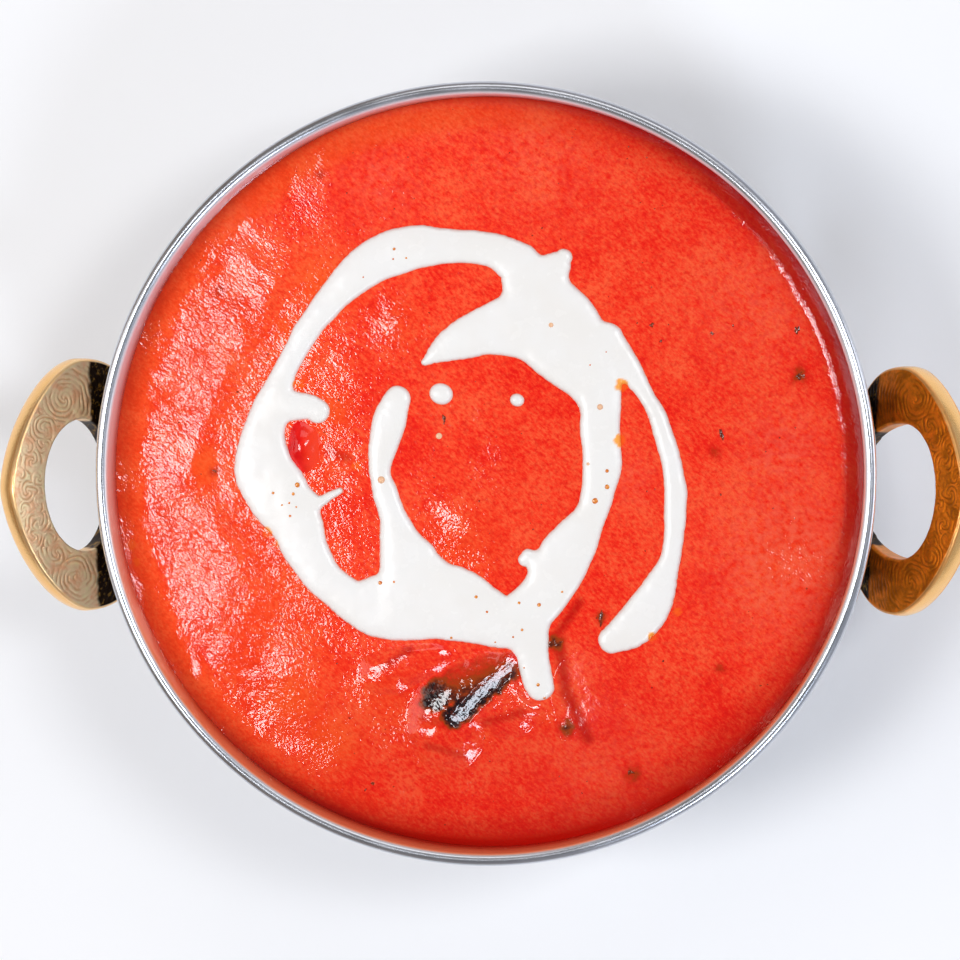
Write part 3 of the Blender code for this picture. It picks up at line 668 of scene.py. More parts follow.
def oil_look():
    """Orange oil that floats up through the cream."""
    look = Look("orange_oil", Coat_Weight=0.6, Coat_Roughness=0.06, IOR=1.45)
    look.colour(look.ramp(look.noise(0.8, 2.0), (0.35, (0.62, 0.12, 0.015)), (0.7, (0.85, 0.36, 0.06))))
    look.rough(look.uneven(0.12, 0.24, 0.5))
    return look.material


# ---------------------------------------------------------------- camera and lights

def camera_axes():
    forward = (CAMERA_AIM - CAMERA_AT).normalized()
    right = forward.cross(Vector((0.0, 1.0, 0.0))).normalized()
    return forward, right, right.cross(forward)


def photo_point(column, row, height):
    """Where a pixel of the photograph lies, at a height over the floor."""
    forward, right, up = camera_axes()
    per_pixel = PIXEL / (CAMERA_AIM - CAMERA_AT).length
    half = PHOTO_SIDE / 2
    ray = forward + right * ((column - half) * per_pixel) + up * ((half - row) * per_pixel)
    return CAMERA_AT + ray * ((height - CAMERA_AT.z) / ray.z)


def make_camera():
    data = bpy.data.cameras.new("camera")
    distance = (CAMERA_AIM - CAMERA_AT).length
    data.sensor_width = SENSOR
    data.lens = SENSOR * distance / (PIXEL * PHOTO_SIDE)
    data.clip_start, data.clip_end = 0.05, 10.0
    camera = bpy.data.objects.new("camera", data)
    camera.location = CAMERA_AT * MM
    forward, right, up = camera_axes()
    camera.rotation_euler = Matrix((right, up, -forward)).transposed().to_euler()
    bpy.context.scene.collection.objects.link(camera)
    bpy.context.scene.camera = camera


def area_light(name, place_at, size, strength, colour):
    """A soft light that faces the bowl; place and size in millimetres, strength as radiance."""
    data = bpy.data.lights.new(name, "AREA")
    data.shape = "RECTANGLE"
    data.size, data.size_y = size[0] * MM, size[1] * MM
    data.energy = strength * math.pi * data.size * data.size_y
    data.color = colour
    light = bpy.data.objects.new(name, data)
    light.location = Vector(place_at) * MM
    light.rotation_euler = (Vector((0, 0, LEVEL)) - Vector(place_at)).to_track_quat("-Z", "Y").to_euler()
    bpy.context.scene.collection.objects.link(light)


def make_world():
    """A dim warm room to the left and a brighter cool one to the right, darker overhead."""
    world = bpy.data.worlds.new("studio")
    bpy.context.scene.world = world
    world.use_nodes = True
    nodes = Nodes(world.node_tree)
    direction = nodes.add("ShaderNodeTexCoord").outputs["Generated"]
    parts = nodes.add("ShaderNodeSeparateXYZ", {"Vector": direction}).outputs
    (low, low_strength), (high, high_strength) = ROOM_DIMMING
    background = world.node_tree.nodes["Background"].inputs
    nodes.feed(background["Color"], nodes.ramp(nodes.spread(parts["X"], -1.0, 1.0), *ROOM))
    nodes.feed(background["Strength"], nodes.spread(parts["Z"], low, high, low_strength, high_strength))


def make_surroundings():
    for light in LIGHTS:
        area_light(*light)
    make_world()
    bpy.context.scene.view_settings.view_transform = "Standard"
    look = Look("pale_floor", Roughness=0.6)
    look.colour(look.mix(look.noise(300.0), (0.92, 0.93, 0.95), (0.95, 0.95, 0.96)))
    corners = [(-FLOOR, -FLOOR, 0), (FLOOR, -FLOOR, 0), (FLOOR, FLOOR, 0), (-FLOOR, FLOOR, 0)]
    make_object("floor", corners, [(0, 1, 2, 3)], look.material)


# ---------------------------------------------------------------- bowl

def arc(centre, radii, first, last, count):
    """(radius, height) points of an arc with its own half axes, between two angles in degrees."""
    angles = np.radians(np.linspace(first, last, count))
    return [(centre[0] + radii[0] * math.cos(a), centre[1] + radii[1] * math.sin(a)) for a in angles]


def belly(outer_radius, bottom, count):
    """The rounded stretch from the upright wall down to the flat base."""
    return arc((BASE_RADIUS, SHOULDER_Z), (outer_radius - BASE_RADIUS, SHOULDER_Z - bottom), 0, -90, count)


def turned(profile):
    """Turns (radius, height) points, which end on the axis, about it: points, quads and end triangles."""
    profile = np.array(profile)
    angles = np.arange(TURN_STEPS) * math.tau / TURN_STEPS
    radius, height = profile[1:-1].T
    x, y = np.outer(np.cos(angles), radius), np.outer(np.sin(angles), radius)
    points = np.stack([x, y, np.tile(height, (TURN_STEPS, 1))], -1).reshape(-1, 3)
    number = numbered(*x.shape)
    ends = np.vstack([fan(number[:, 0], number.size), fan(number[::-1, -1], number.size + 1)])
    points = np.vstack([points, [0, 0, profile[0, 1]], [0, 0, profile[-1, 1]]])
    return points, cells(closed(number)).reshape(-1, 4), ends


def inner_wall(points):
    """Where the bowl's inside is matt and painted pale as the light it reflects, and where the sauce's
    reflection is painted on it, which is at the front.
    """
    x, y, height = points.T
    radius = np.hypot(x, y)
    matt_and_painted_sheen = smooth_step(0.7, 0.1, radius - INNER_RADIUS) * smooth_step(*MATT_RISE, height)
    oil_film_and_reflection = SAUCE_REFLECTION * smooth_step(*SAUCE_REFLECTION_FRONT, y / np.maximum(radius, 1.0)) * (height > SAUCE_REFLECTION_FROM)
    return {"matt_and_painted_sheen": matt_and_painted_sheen, "oil_film_and_reflection": oil_film_and_reflection * smooth_step(0.5, 0.1, radius - INNER_RADIUS)}


def make_bowl(mat):
    centre = (INNER_RADIUS + BEAD_RADIUS, BOWL_HEIGHT - BEAD_RADIUS)
    under_bead = -math.degrees(math.acos((WALL - BEAD_RADIUS) / BEAD_RADIUS))
    inside = [(0.0, WALL), (BASE_RING, WALL)] + belly(INNER_RADIUS, WALL, BELLY_STEPS)[::-1]
    inside += [(INNER_RADIUS, height) for height in INSIDE_ROWS]
    rim = arc(centre, (BEAD_RADIUS, BEAD_RADIUS), 180, under_bead, RIM_STEPS)
    outside = [(OUTER_RADIUS, height) for height in OUTSIDE_ROWS]
    outside += belly(OUTER_RADIUS, 0.0, BELLY_STEPS) + [(BASE_RING, 0.0), (0.0, 0.0)]
    points, faces, caps = turned(inside + rim + outside)
    place(make_object("steel_bowl", points, faces, mat, inner_wall(points), caps), "steel", "bowl")


# ---------------------------------------------------------------- handles

def first_crossing(inside):
    """For each ray, how far it runs before it leaves a shape; inside(distances) says where it is in it."""
    low, high = (np.full(EAR_STEPS, distance) for distance in EAR_RAYS)
    for _ in range(40):
        middle = (low + high) / 2
        held = inside(middle)
        low, high = np.where(held, middle, low), np.where(held, high, middle)
    return low


def face_drop(s):
    """How far the upper face lies below the ear's plane: it falls away towards the wall."""
    steepness = math.tan(math.atan2(ROOT_DROP, CREASE_RHO - OUTER_RADIUS) - EAR_TILT)
    return steepness * (np.hypot(s, CREASE_SOFTNESS) - s) / 2


def in_ear(u, s, half_width):
    reach = np.where(s >= EAR_CENTRE_S, EAR_LENGTH - EAR_CENTRE_S, ROOT_REACH)
    power = np.where(s >= EAR_CENTRE_S, EAR_POWER, ROOT_POWER)
    return np.abs(u / half_width) ** power + np.abs((s - EAR_CENTRE_S) / reach) ** power <= 1.0


def ear_place(u, s, w):
    """(distance from the bowl's axis along the handle, height) of a place in the ear."""
    out = CREASE_RHO + s * math.cos(EAR_TILT) + w * math.sin(EAR_TILT)
    return out, CREASE_Z + s * math.sin(EAR_TILT) - w * math.cos(EAR_TILT)


def clear_of_wall(u, s, w):
    return np.hypot(ear_place(u, s, w)[0], u) >= CLEAR_RADIUS


def depth_clear_of_wall(u, s):
    """The least depth w at which a line through the ear at (u, s) is clear of the wall."""
    return (np.sqrt(CLEAR_RADIUS ** 2 - u * u) - CREASE_RHO - s * math.cos(EAR_TILT)) / math.sin(EAR_TILT)


def band_place(u, share, half_width):
    """s at a share of the way from the hole to the tip."""
    hole = HOLE_CENTRE_S + HOLE_OUT * math.sqrt(max(0.0, 1.0 - (u / HOLE_HALF_WIDTH) ** 2))
    round_tip = (1.0 - abs(u / half_width) ** EAR_POWER) ** (1 / EAR_POWER)
    return hole + (EAR_CENTRE_S + (EAR_LENGTH - EAR_CENTRE_S) * round_tip - hole) * share


def groove_at(u, s, half_width):
    """0 on the plain face to 1 in the middle of an engraved line: spirals that crowd each other's edges."""
    eyes = list(VOLUTES)
    eyes += [(at, band_place(at, share, half_width), size, way) for at, share, size, way in SCROLLS]
    worn = 0.3 + 0.7 * smooth_step(-0.35, 0.15, waves(u, s, (1.0, 2.6, 21.0)))
    waver = [
        waves(u, s, *((height, length, shift + more) for height, length, shift in GROOVE_WAVER))
        for more in AXIS_SHIFTS]
    u, s = u + waver[0], s + waver[1]
    nearest = np.full(len(u), 99.0)
    line = np.zeros(len(u))
    for eye_u, eye_s, size, way in eyes:
        apart = np.hypot(u - eye_u, s - eye_s)
        angle = np.arctan2(s - eye_s, u - eye_u)
        spiral = 0.5 + 0.5 * np.cos(math.tau * apart / SCROLL_PITCH + SCROLL_ARMS * way * angle)
        mine = apart / size < nearest
        line = np.where(mine, spiral, line)
        nearest = np.where(mine, apart / size, nearest)
    return worn * line ** GROOVE_POWER


def edge_steps():
    """(inset, drop) shares of an edge's radius, from its side up to its face."""
    return [(1.0 - math.cos(a), 1.0 - math.sin(a)) for a in np.radians((0, 22, 45, 68))]


def ear_fan(half_width, hole_in):
    """Rays from the hole's centre: their directions, and how far off hole, upper and lower outlines are."""
    theta = -math.pi / 2 + np.arange(EAR_STEPS) * math.tau / EAR_STEPS
    du, ds = np.cos(theta), np.sin(theta)
    reach = np.where(ds >= 0.0, HOLE_OUT, hole_in)
    hole = 1.0 / np.sqrt((du / HOLE_HALF_WIDTH) ** 2 + (ds / reach) ** 2)

    def at(distance):
        return distance * du, HOLE_CENTRE_S + distance * ds

    ear = first_crossing(lambda d: in_ear(*at(d), half_width))
    top_wall = first_crossing(lambda d: clear_of_wall(*at(d), face_drop(at(d)[1])))
    low_wall = first_crossing(lambda d: clear_of_wall(*at(d), EAR_THICKNESS))
    crest = depth_clear_of_wall(*at(hole + ROOT_LIP))
    kept = crest <= EAR_THICKNESS - ROOT_END
    top = np.maximum(np.minimum(ear, top_wall), hole + ROOT_LIP)
    low = np.minimum(ear, low_wall)
    free = smooth_step(-0.5, 0.5, low_wall - ear)
    return [values[kept] for values in (du, ds, hole, top, low, crest, free)]


def ear_columns(hole, top, low, edge, free):
    """The section's points in turn: (distance from the hole's centre, share of the way down from the upper to
    the lower face, how many edges below that, polish)."""
    steps = edge_steps()
    columns = [(hole + edge * inset, 0.0, drop, 0.0) for inset, drop in steps]
    columns += [
        (hole + edge + (top - hole - 2 * edge) * t, 0.0, 0.0, 0.0) for t in np.linspace(0.0, 1.0, FACE_STEPS)]
    columns += [(top - edge * inset, 0.0, drop, 0.6) for inset, drop in steps[::-1]]
    for v in np.linspace(0.0, 1.0, 10)[1:-1]:
        bulge = HANDLE_BULGE * (1.0 - (2 * v - 1) ** 2) * free
        columns.append((top + (low - top) * v + bulge, v, 1.0 - 2 * v, 1.0))
    columns += [(low - edge * inset, 1.0, -drop, 0.6) for inset, drop in steps]
    columns += [(hole + edge + (low - hole - 2 * edge) * t, 1.0, 0.0, 0.3) for t in np.linspace(1.0, 0.0, 12)]
    columns += [(hole + edge * inset, 1.0, -drop, 0.3) for inset, drop in steps[::-1]]
    columns += [(hole, v, 1.0 - 2 * v, 0.3) for v in np.linspace(1.0, 0.0, 8)[1:-1]]
    return columns


def make_handle(name, mat):
    """A ring of sections round the finger hole: upper face, polished band, lower face and hole wall."""
    azimuth, half_width, hole_in, shaded_face, root_shade_from = HANDLES[name]
    du, ds, hole, top, low, crest, free = ear_fan(half_width, hole_in)
    edge = np.minimum(HANDLE_EDGE, 0.35 * np.minimum(top - hole, EAR_THICKNESS - crest))
    columns = ear_columns(hole, top, low, edge, free)
    distance = np.stack([column[0] for column in columns], axis=1)
    down, edges_below, polish = np.array([column[1:] for column in columns]).T
    u = distance * du[:, None]
    s = HOLE_CENTRE_S + distance * ds[:, None]
    upper = np.maximum(face_drop(s), crest[:, None])
    w = upper * (1.0 - down) + EAR_THICKNESS * down + edge[:, None] * edges_below
    polish = np.tile(polish, (len(u), 1))
    face = slice(len(edge_steps()), len(edge_steps()) + FACE_STEPS)
    across = np.linspace(0.0, 1.0, FACE_STEPS)
    groove = np.zeros_like(u)
    groove[:, face] = groove_at(u[:, face].ravel(), s[:, face].ravel(), half_width).reshape(len(u), -1)
    groove[:, face] *= smooth_step(0.0, 0.06, across) * smooth_step(0.0, 0.06, 1.0 - across)
    flat = np.column_stack([u.ravel(), s.ravel(), w.ravel()])
    wear = sum(height * noise_at(flat, length, shift) for height, length, shift in WEAR).reshape(u.shape)
    w = w + (groove * GROOVE_DEPTH + wear * (1.0 - 0.7 * polish)) * (edge / HANDLE_EDGE)[:, None]
    out, height = ear_place(u, s, w)
    x, y = along_across(out, u, azimuth)
    # painted shade where the ear meets the wall, off the polished band
    root_shade = smooth_step(root_shade_from + 0.5, root_shade_from - 0.5, s + wear * 8.0) * (polish < 0.5)
    # the right handle's face is painted amber as in shade, the left one pale as lit
    attributes = {"groove": groove, "polish": polish, "root_shade": root_shade, "shaded_face": np.full(u.shape, shaded_face)}
    attributes = {key: values.ravel() for key, values in attributes.items()}
    faces, ends = ring_faces(len(u), len(columns), len(u) == EAR_STEPS)
    points = np.column_stack([x.ravel(), -y.ravel(), height.ravel()])
    place(make_object(name + "_cast", points, faces, mat, attributes, ends), "brass", name)


def ring_faces(sections, count, whole):
    """Faces between closed sections of so many points each, and the fans that end an open row of them."""
    number = closed(numbered(sections, count), across=True)
    if whole:
        return cells(closed(number)).reshape(-1, 4), ()
    first, last = number[0], number[-1]
    ends = [(first[0], a, b) for a, b in zip(first[1:-2], first[2:-1])]
    ends += [(last[0], b, a) for a, b in zip(last[1:-2], last[2:-1])]
    return cells(number).reshape(-1, 4), ends


# ---------------------------------------------------------------- cream

def smooth_stroke(points, step):
    """Catmull-Rom samples of (x, y, half width)."""
    knots = [np.array(p, float) for p in points]
    knots = [2 * knots[0] - knots[1]] + knots + [2 * knots[-1] - knots[-2]]
    samples = []
    for a, b, c, d in zip(knots, knots[1:], knots[2:], knots[3:]):
        count = max(1, round(np.linalg.norm(c[:2] - b[:2]) / step))
        for t in np.arange(count) / count:
            samples.append(0.5 * (2 * b + (c - a) * t + (2 * a - 5 * b + 4 * c - d) * t ** 2
                                  + (3 * b - a - 3 * c + d) * t ** 3))
    samples.append(knots[-2])
    return np.array(samples)


def stroke_depth(x, y, samples):
    """How far inside one stroke a point lies: near its edge this is a distance."""
    best = np.full(x.shape, -99.0)
    for a, b in zip(samples[:-1], samples[1:]):
        along = b[:2] - a[:2]
        t = np.clip(((x - a[0]) * along[0] + (y - a[1]) * along[1]) / (along @ along), 0.0, 1.0)
        half = a[2] + (b[2] - a[2]) * t
        apart = np.hypot(x - a[0] - along[0] * t, y - a[1] - along[1] * t)
        best = np.maximum(best, (half ** 2 - apart ** 2) / (2 * half))
    return best


def cream_depth(x, y, strokes):
    """The same for all strokes, which flow into each other."""
    total = stroke_depth(x, y, strokes[0])
    for samples in strokes[1:]:
        total = smooth_max(total, stroke_depth(x, y, samples), CREAM_BLEND)
    return total + waves(x, y, *CREAM_WAVES)


def drop_depth(x, y, drop):
    """The same for a slightly oval drop."""
    cx, cy, radius = drop
    edge = radius * (1.0 + DROP_OVAL * np.cos(2 * np.arctan2(y - cy, x - cx) + DROP_TURN))
    return (edge ** 2 - (x - cx) ** 2 - (y - cy) ** 2) / (2 * edge)


def cream_rise(depth):
    """Height of the cream over its base, so far inside its edge."""
    return CREAM_HEIGHT * (1.0 - np.exp(-np.sqrt(depth * (depth + CREAM_SHOULDER)) / CREAM_ROUND))


def oil_at(x, y):
    """1 where orange oil has gathered at the rim of the cream, 0 elsewhere."""
    total = 1.6 * patches(x, y, OIL_POOLS).max(0)
    return smooth_step(0.55, 0.85, total + waves(x, y, OIL_RAGGED) * (total > 0.1))


def onto_edge(x, y, depth_at):
    """Moves points to where depth_at is zero."""
    step = SLOPE_STEP
    for _ in range(4):
        value = depth_at(x, y)
        slope_x = (depth_at(x + step, y) - depth_at(x - step, y)) / (2 * step)
        slope_y = (depth_at(x, y + step) - depth_at(x, y - step)) / (2 * step)
        square = np.maximum(slope_x ** 2 + slope_y ** 2, LEAST_SLOPE)
        x, y = x - value * slope_x / square, y - value * slope_y / square
    return x, y


def close_below(piece, height):
    """Closes an open sheet by a wall down from its rim and a flat underside."""
    bm = bmesh.new()
    bm.from_mesh(piece.data)
    rim = [e for e in bm.edges if e.is_boundary]
    new = bmesh.ops.extrude_edge_only(bm, edges=rim)["geom"]
    for vertex in (g for g in new if isinstance(g, bmesh.types.BMVert)):
        vertex.co.z = height * MM
    rim = [g for g in new if isinstance(g, bmesh.types.BMEdge)]
    bmesh.ops.triangle_fill(bm, edges=rim, use_beauty=False, normal=(0, 0, -1))
    bmesh.ops.recalc_face_normals(bm, faces=bm.faces)
    bm.to_mesh(piece.data)
    bm.free()
    piece.data.shade_smooth()


def make_puddle(name, depth_at, low, high, mat, node):
    """A flat puddle with a domed edge, wherever depth_at is over zero."""
    x, y = plan_grid(low, high, CREAM_GRID)
    held = depth_at(x[:-1, :-1] + CREAM_GRID / 2, y[:-1, :-1] + CREAM_GRID / 2) > 0
    used, quads = np.unique(cells(numbered(*x.shape))[held], return_inverse=True)
    around = np.pad(held, 1)
    inner = (around[:-1, :-1] & around[1:, :-1] & around[:-1, 1:] & around[1:, 1:]).ravel()[used]
    x, y = x.ravel()[used], y.ravel()[used]
    x[~inner], y[~inner] = onto_edge(x[~inner], y[~inner], depth_at)
    depth = np.maximum(depth_at(x, y), 0.0) * inner
    height = cream_rise(depth) * (1.0 + waves(x, y, *CREAM_SWELL))
    points = np.column_stack([x, y, CREAM_BASE + height])
    piece = make_object(name, points, quads.reshape(-1, 4), mat, {"edge": depth, "oil": oil_at(x, y)})
    close_below(piece, CREAM_BASE - CREAM_SUNK)
    place(piece, "cream", node)


def make_cream(strokes, mat):
    every = np.vstack(strokes)[:, :2]
    low, high = every.min(0) - CREAM_MARGIN, every.max(0) + CREAM_MARGIN
    make_puddle("cream_pour", lambda x, y: cream_depth(x, y, strokes), low, high, mat, "cream_swirl")
    for node, drop in CREAM_DROPS.items():
        cx, cy, radius = drop
        low, high = (cx - radius - 1, cy - radius - 1), (cx + radius + 1, cy + radius + 1)
        make_puddle(node + "_pour", lambda x, y, drop=drop: drop_depth(x, y, drop), low, high, mat, node)


# ---------------------------------------------------------------- sauce

def lobe_ratio(x, y, lobe):
    """0 in the middle of a lobe in plan, 1 on its outline."""
    centre, axes, turn = lobe
    along, across = along_across(x - centre[0], y - centre[1], turn)
    return np.hypot(along / axes[0], across / axes[1])


def chunk_top(x, y, name):
    """How high a chunk stands over the level of the sauce, in plan; outside it this is below 0."""
    share, spread, power, _ = CHUNK_FORMS[name]
    top = np.full(x.shape, -99.0)
    x, y = warped(x, y, *CHUNK_WARP)
    for lobe in CHUNKS[name]:
        rise = share * (lobe[0][2] + lobe[1][2])
        top = smooth_max(top, rise * (1.0 - (lobe_ratio(x, y, lobe) / spread) ** power), LOBE_FLOW)
    return top


def patches(x, y, places):
    """The strength, or 1, of each place in the photograph, falling to 0 around it."""
    return np.array([
        math.prod(strength) * bell(x, y, photo_point(column, row, LEVEL), radius)
        for column, row, radius, *strength in places])


def bar(x, y, start, end, half_width):
    """1 on a line between two places in the photograph, falling to 0 at its half width."""
    start, end = photo_point(*start, LEVEL), photo_point(*end, LEVEL)
    along = end - start
    t = np.clip(((x - start.x) * along.x + (y - start.y) * along.y) / along.length_squared, 0.0, 1.0)
    apart = np.hypot(x - start.x - along.x * t, y - start.y - along.y * t)
    return smooth_step(1.0, 0.0, apart / half_width)


def from_wall(x, y):
    return INNER_RADIUS - np.hypot(x, y)


def from_band(x, y):
    """How far a point is from the wall, with the waver of the smooth band that clings to it on the left."""
    apart = from_wall(x, y)
    return apart + waves(x, y, *BAND_WAVER) * smooth_step(0.0, 6.0, apart)


def coarse_at(x, y):
    """1 where the sauce is coarse and lumpy, 0 where it is smooth: it is coarse on the left."""
    coarse = smooth_step(*GRAIN_SIDE, x + GRAIN_SLANT * np.maximum(0.0, y - GRAIN_BACK))
    coarse *= smooth_step(*SMOOTH_BAND, from_band(x, y))
    coarse = np.maximum(coarse, COARSE_SHARE * patches(x, y, COARSE_PATCHES).max(0))
    return coarse * (1.0 - SMOOTH_SHARE * patches(x, y, SMOOTH_PATCHES)).prod(0)


def beyond_skin(x, y):
    """1 where the sauce lies lower than its skin, which ends in a small step along the right of the wall."""
    azimuth = np.degrees(np.arctan2(y, x))
    first, last = SKIN_SPAN
    span = smooth_step(first - SKIN_FADE, first + SKIN_FADE, azimuth)
    span *= smooth_step(last + SKIN_FADE, last - SKIN_FADE, azimuth)
    beyond = from_wall(x, y) + waves(x, y, *SKIN_WAVER) - SKIN_FROM_WALL
    return span * smooth_step(SKIN_SOFTNESS, -SKIN_SOFTNESS, beyond)


def bare_sauce(x, y, cream_samples):
    """Height of the sauce over its level, how coarse it is, and how far off the cream is."""
    gap = np.full(x.shape, 99.0)
    for cx, cy, half in cream_samples:
        gap = np.minimum(gap, np.hypot(x - cx, y - cy) - half)
    uneven = waves(x, y, RIPPLE) + sum(height * bell(x, y, at, radius) for *at, radius, height in SWELLS)
    coarse = coarse_at(x, y)
    height = uneven * (CALM + (1.0 - CALM) * coarse) * smooth_step(*BED, gap)
    fall = EDGE_FALL * np.maximum(0.0, 1.0 - from_wall(x, y) / EDGE_BAND) ** 2
    rise = LEFT_RISE * np.maximum(0.0, 1.0 - from_band(x, y) / LEFT_BAND) ** 3
    left = smooth_step(*LEFT_SIDE, x)
    height += left * rise - (1.0 - left) * fall - SKIN_STEP * beyond_skin(x, y)
    lumps = streaks(x, y, STREAK_TURN, *LUMPS) * (CALM_LUMPS + (1.0 - CALM_LUMPS) * coarse)
    grain = waves(x, y, GRAIN) * (CALM_GRAIN + (1.0 - CALM_GRAIN) * coarse)
    height += (lumps + grain) * smooth_step(-0.3, 1.2, gap)
    return height, coarse, gap


def over_chunk(x, y, name, bare, gap):
    """Height of the surface where the sauce flows up on a chunk, and how far inside its seam a point is."""
    blend = CHUNK_FORMS[name][3]
    top = chunk_top(x, y, name)
    rise = (smooth_max(bare, top, blend) - bare) * smooth_step(*CREAM_CLEARANCE[name], gap)
    return bare + rise, (top - bare) / blend


def seam_depth(name):
    return SEAM_DEPTH * CHUNK_FORMS[name][3]


def sauce_height(x, y, samples):
    """Height of the sauce with its dips under the chunks, how coarse it is, and how far it is on a chunk."""
    bare, coarse, gap = bare_sauce(x, y, samples)
    height, inside, dip = bare, np.full(x.shape, -99.0), np.zeros(x.shape)
    for name in CHUNKS:
        chunk_height, chunk_inside = over_chunk(x, y, name, bare, gap)
        height, inside = np.maximum(height, chunk_height), np.maximum(inside, chunk_inside)
        dip = np.maximum(dip, seam_depth(name) * smooth_step(SEAM, SEAM + SEAM_REACH, chunk_inside))
    height += (bare - height) * smooth_step(SEAM + SEAM_REACH, SEAM + 4 * SEAM_REACH, inside)
    return height - dip, coarse, inside


def painted_shade_at(x, y, shaded):
    """Painted shade: 1 where the sauce is painted deep red, beside the wall, mostly on the shaded side, at
    the front and in troughs.
    """
    (shade, shade_reach), (line, line_reach) = WALL_SHADE, WALL_LINE
    apart = from_wall(x, y)
    depth = shade * shaded * np.exp(-apart / shade_reach) + line * np.exp(-apart / line_reach)
    depth += OPEN_SHADE * shaded + FRONT_SHADE * smooth_step(*FRONT, y)
    depth = np.maximum(depth, BEYOND_SKIN * beyond_skin(x, y))
    for start, end, half_width, strength in SHADED_TROUGHS:
        depth = np.maximum(depth, strength * bar(x, y, start, end, half_width))
    return np.clip(depth, 0, 1)


def sauce_values(x, y, coarse, inside):
    """Values per point for the look of the sauce."""
    shaded = smooth_step(*SHADED_SIDE, x - SHADE_SLANT * y)
    oils = (
        BAND_OIL * (1.0 - shaded) * smooth_step(*OIL_BAND, from_wall(x, y)), COARSE_OIL * coarse,
        SMOOTH_OIL * patches(x, y, SMOOTH_PATCHES).max(0), POOL_OIL * oil_at(x, y))
    return {
        # depth is painted shade
        "depth": painted_shade_at(x, y, shaded), "oil_film_and_reflection": np.max(oils, axis=0),
        # haze paints paler pink patches, in places as a painted sheen
        "haze": patches(x, y, HAZE_PATCHES).max(0), "dull": patches(x, y, DULL_PATCHES).max(0),
        "char": np.clip(patches(*warped(x, y, *SMUDGE_WARP), SMUDGES).sum(0), 0, 1),
        "coarse": coarse * (1.0 - CHUNK_COARSE * smooth_step(SEAM, SEAM + 1.0, inside)),
    }


def disc_grid():
    """A square grid drawn onto the disc of the sauce, whose cells stay nearly square."""
    side = np.linspace(-1.0, 1.0, RING_GRID)
    a, b = (g.ravel() for g in np.meshgrid(side, side, indexing="ij"))
    wide = np.abs(a) > np.abs(b)
    with np.errstate(divide="ignore", invalid="ignore"):
        angle = np.where(wide, math.pi / 4 * b / a, math.pi / 2 - math.pi / 4 * a / b)
    angle = np.nan_to_num(angle)
    reach = np.where(wide, a, b) * CURRY_RADIUS
    return reach * np.cos(angle), reach * np.sin(angle)


def make_sauce(samples, mat):
    """The sauce's surface, closed by the belly of the bowl."""
    x, y = disc_grid()
    rise, coarse, inside = sauce_height(x, y, samples)
    number = numbered(RING_GRID, RING_GRID)
    loop = np.concatenate([number[:-1, 0], number[-1, :-1], number[:0:-1, -1], number[0, :0:-1]])
    outline = np.column_stack([x, y])[loop] / CURRY_RADIUS
    rings = belly(CURRY_RADIUS, WALL + CURRY_GAP, BELLY_ROWS)
    points = [np.column_stack([x, y, LEVEL + rise])]
    points += [np.column_stack([outline * radius, np.full(len(loop), height)]) for radius, height in rings]
    points = np.vstack([*points, [0.0, 0.0, WALL + CURRY_GAP]])
    below = np.vstack([loop, len(x) + numbered(len(rings), len(loop))])
    faces = np.vstack([cells(number).reshape(-1, 4), cells(closed(below, across=True)).reshape(-1, 4)])
    unseen = (0, len(points) - len(x))
    coarse, inside = np.pad(coarse, unseen), np.pad(inside, unseen, constant_values=-9.0)
    values = sauce_values(*points[:, :2].T, coarse, inside)
    tip = fan(below[-1], len(points) - 1)
    place(make_object("sauce_pool", points, faces, mat, values, tip, SHARP), "sauce", "curry")


# ---------------------------------------------------------------- chunks

def closed_patch(held, x, y, top, bottom):
    """Points and quads of a closed piece over the held cells of a grid, and which grid point each is on."""
    corners = cells(numbered(*x.shape))
    quads = [corners[held], corners[held][:, ::-1] + x.size]
    around = np.pad(held, 1)
    beside = (around[1:-1, :-2], around[2:, 1:-1], around[1:-1, 2:], around[:-2, 1:-1])
    for k, neighbour in enumerate(beside):
        p, q = corners[held & ~neighbour][:, [k, (k + 1) % 4]].T
        quads.append(np.stack([q, p, p + x.size, q + x.size], -1))
    used, quads = np.unique(np.vstack(quads), return_inverse=True)
    points = np.column_stack([np.tile(x.ravel(), 2), np.tile(y.ravel(), 2), np.concatenate([top, bottom])])
    return points[used], quads.reshape(-1, 4), used % x.size


def folded(x, y, height):
    """The charred chunk's skin is turned down along its lower right edge: its height, and 1 on that face."""
    start, end = (photo_point(*spot, LEVEL) for spot in FOLD)
    along = (end - start).normalized()
    beyond = (x - start.x) * along.y - (y - start.y) * along.x
    share = smooth_step(0.1, 0.6, bar(x, y, *FOLD, FOLD_WIDTH) * (1.0 + waves(x, y, FOLD_RAGGED)))
    ridges = streaks(x, y, math.degrees(math.atan2(along.y, along.x)), FOLD_RIDGES)
    return height + share * (FOLD_HEIGHT + ridges - FOLD_SLOPE * beyond - height), share


def crust(x, y):
    """The charred skin: how burnt it is from 0 to 1, and how far it stands out."""
    skin = np.max([bar(x, y, *ends) for ends in CRUST_BARS], axis=0)
    burnt = smooth_step(0.10, 0.78, skin + waves(x, y, *CRUST_RAGGED))
    return burnt * (1.0 - BROWN * bar(x, y, *BROWN_BAR)), waves(x, y, *CRUMB) * (0.2 + 0.8 * burnt)


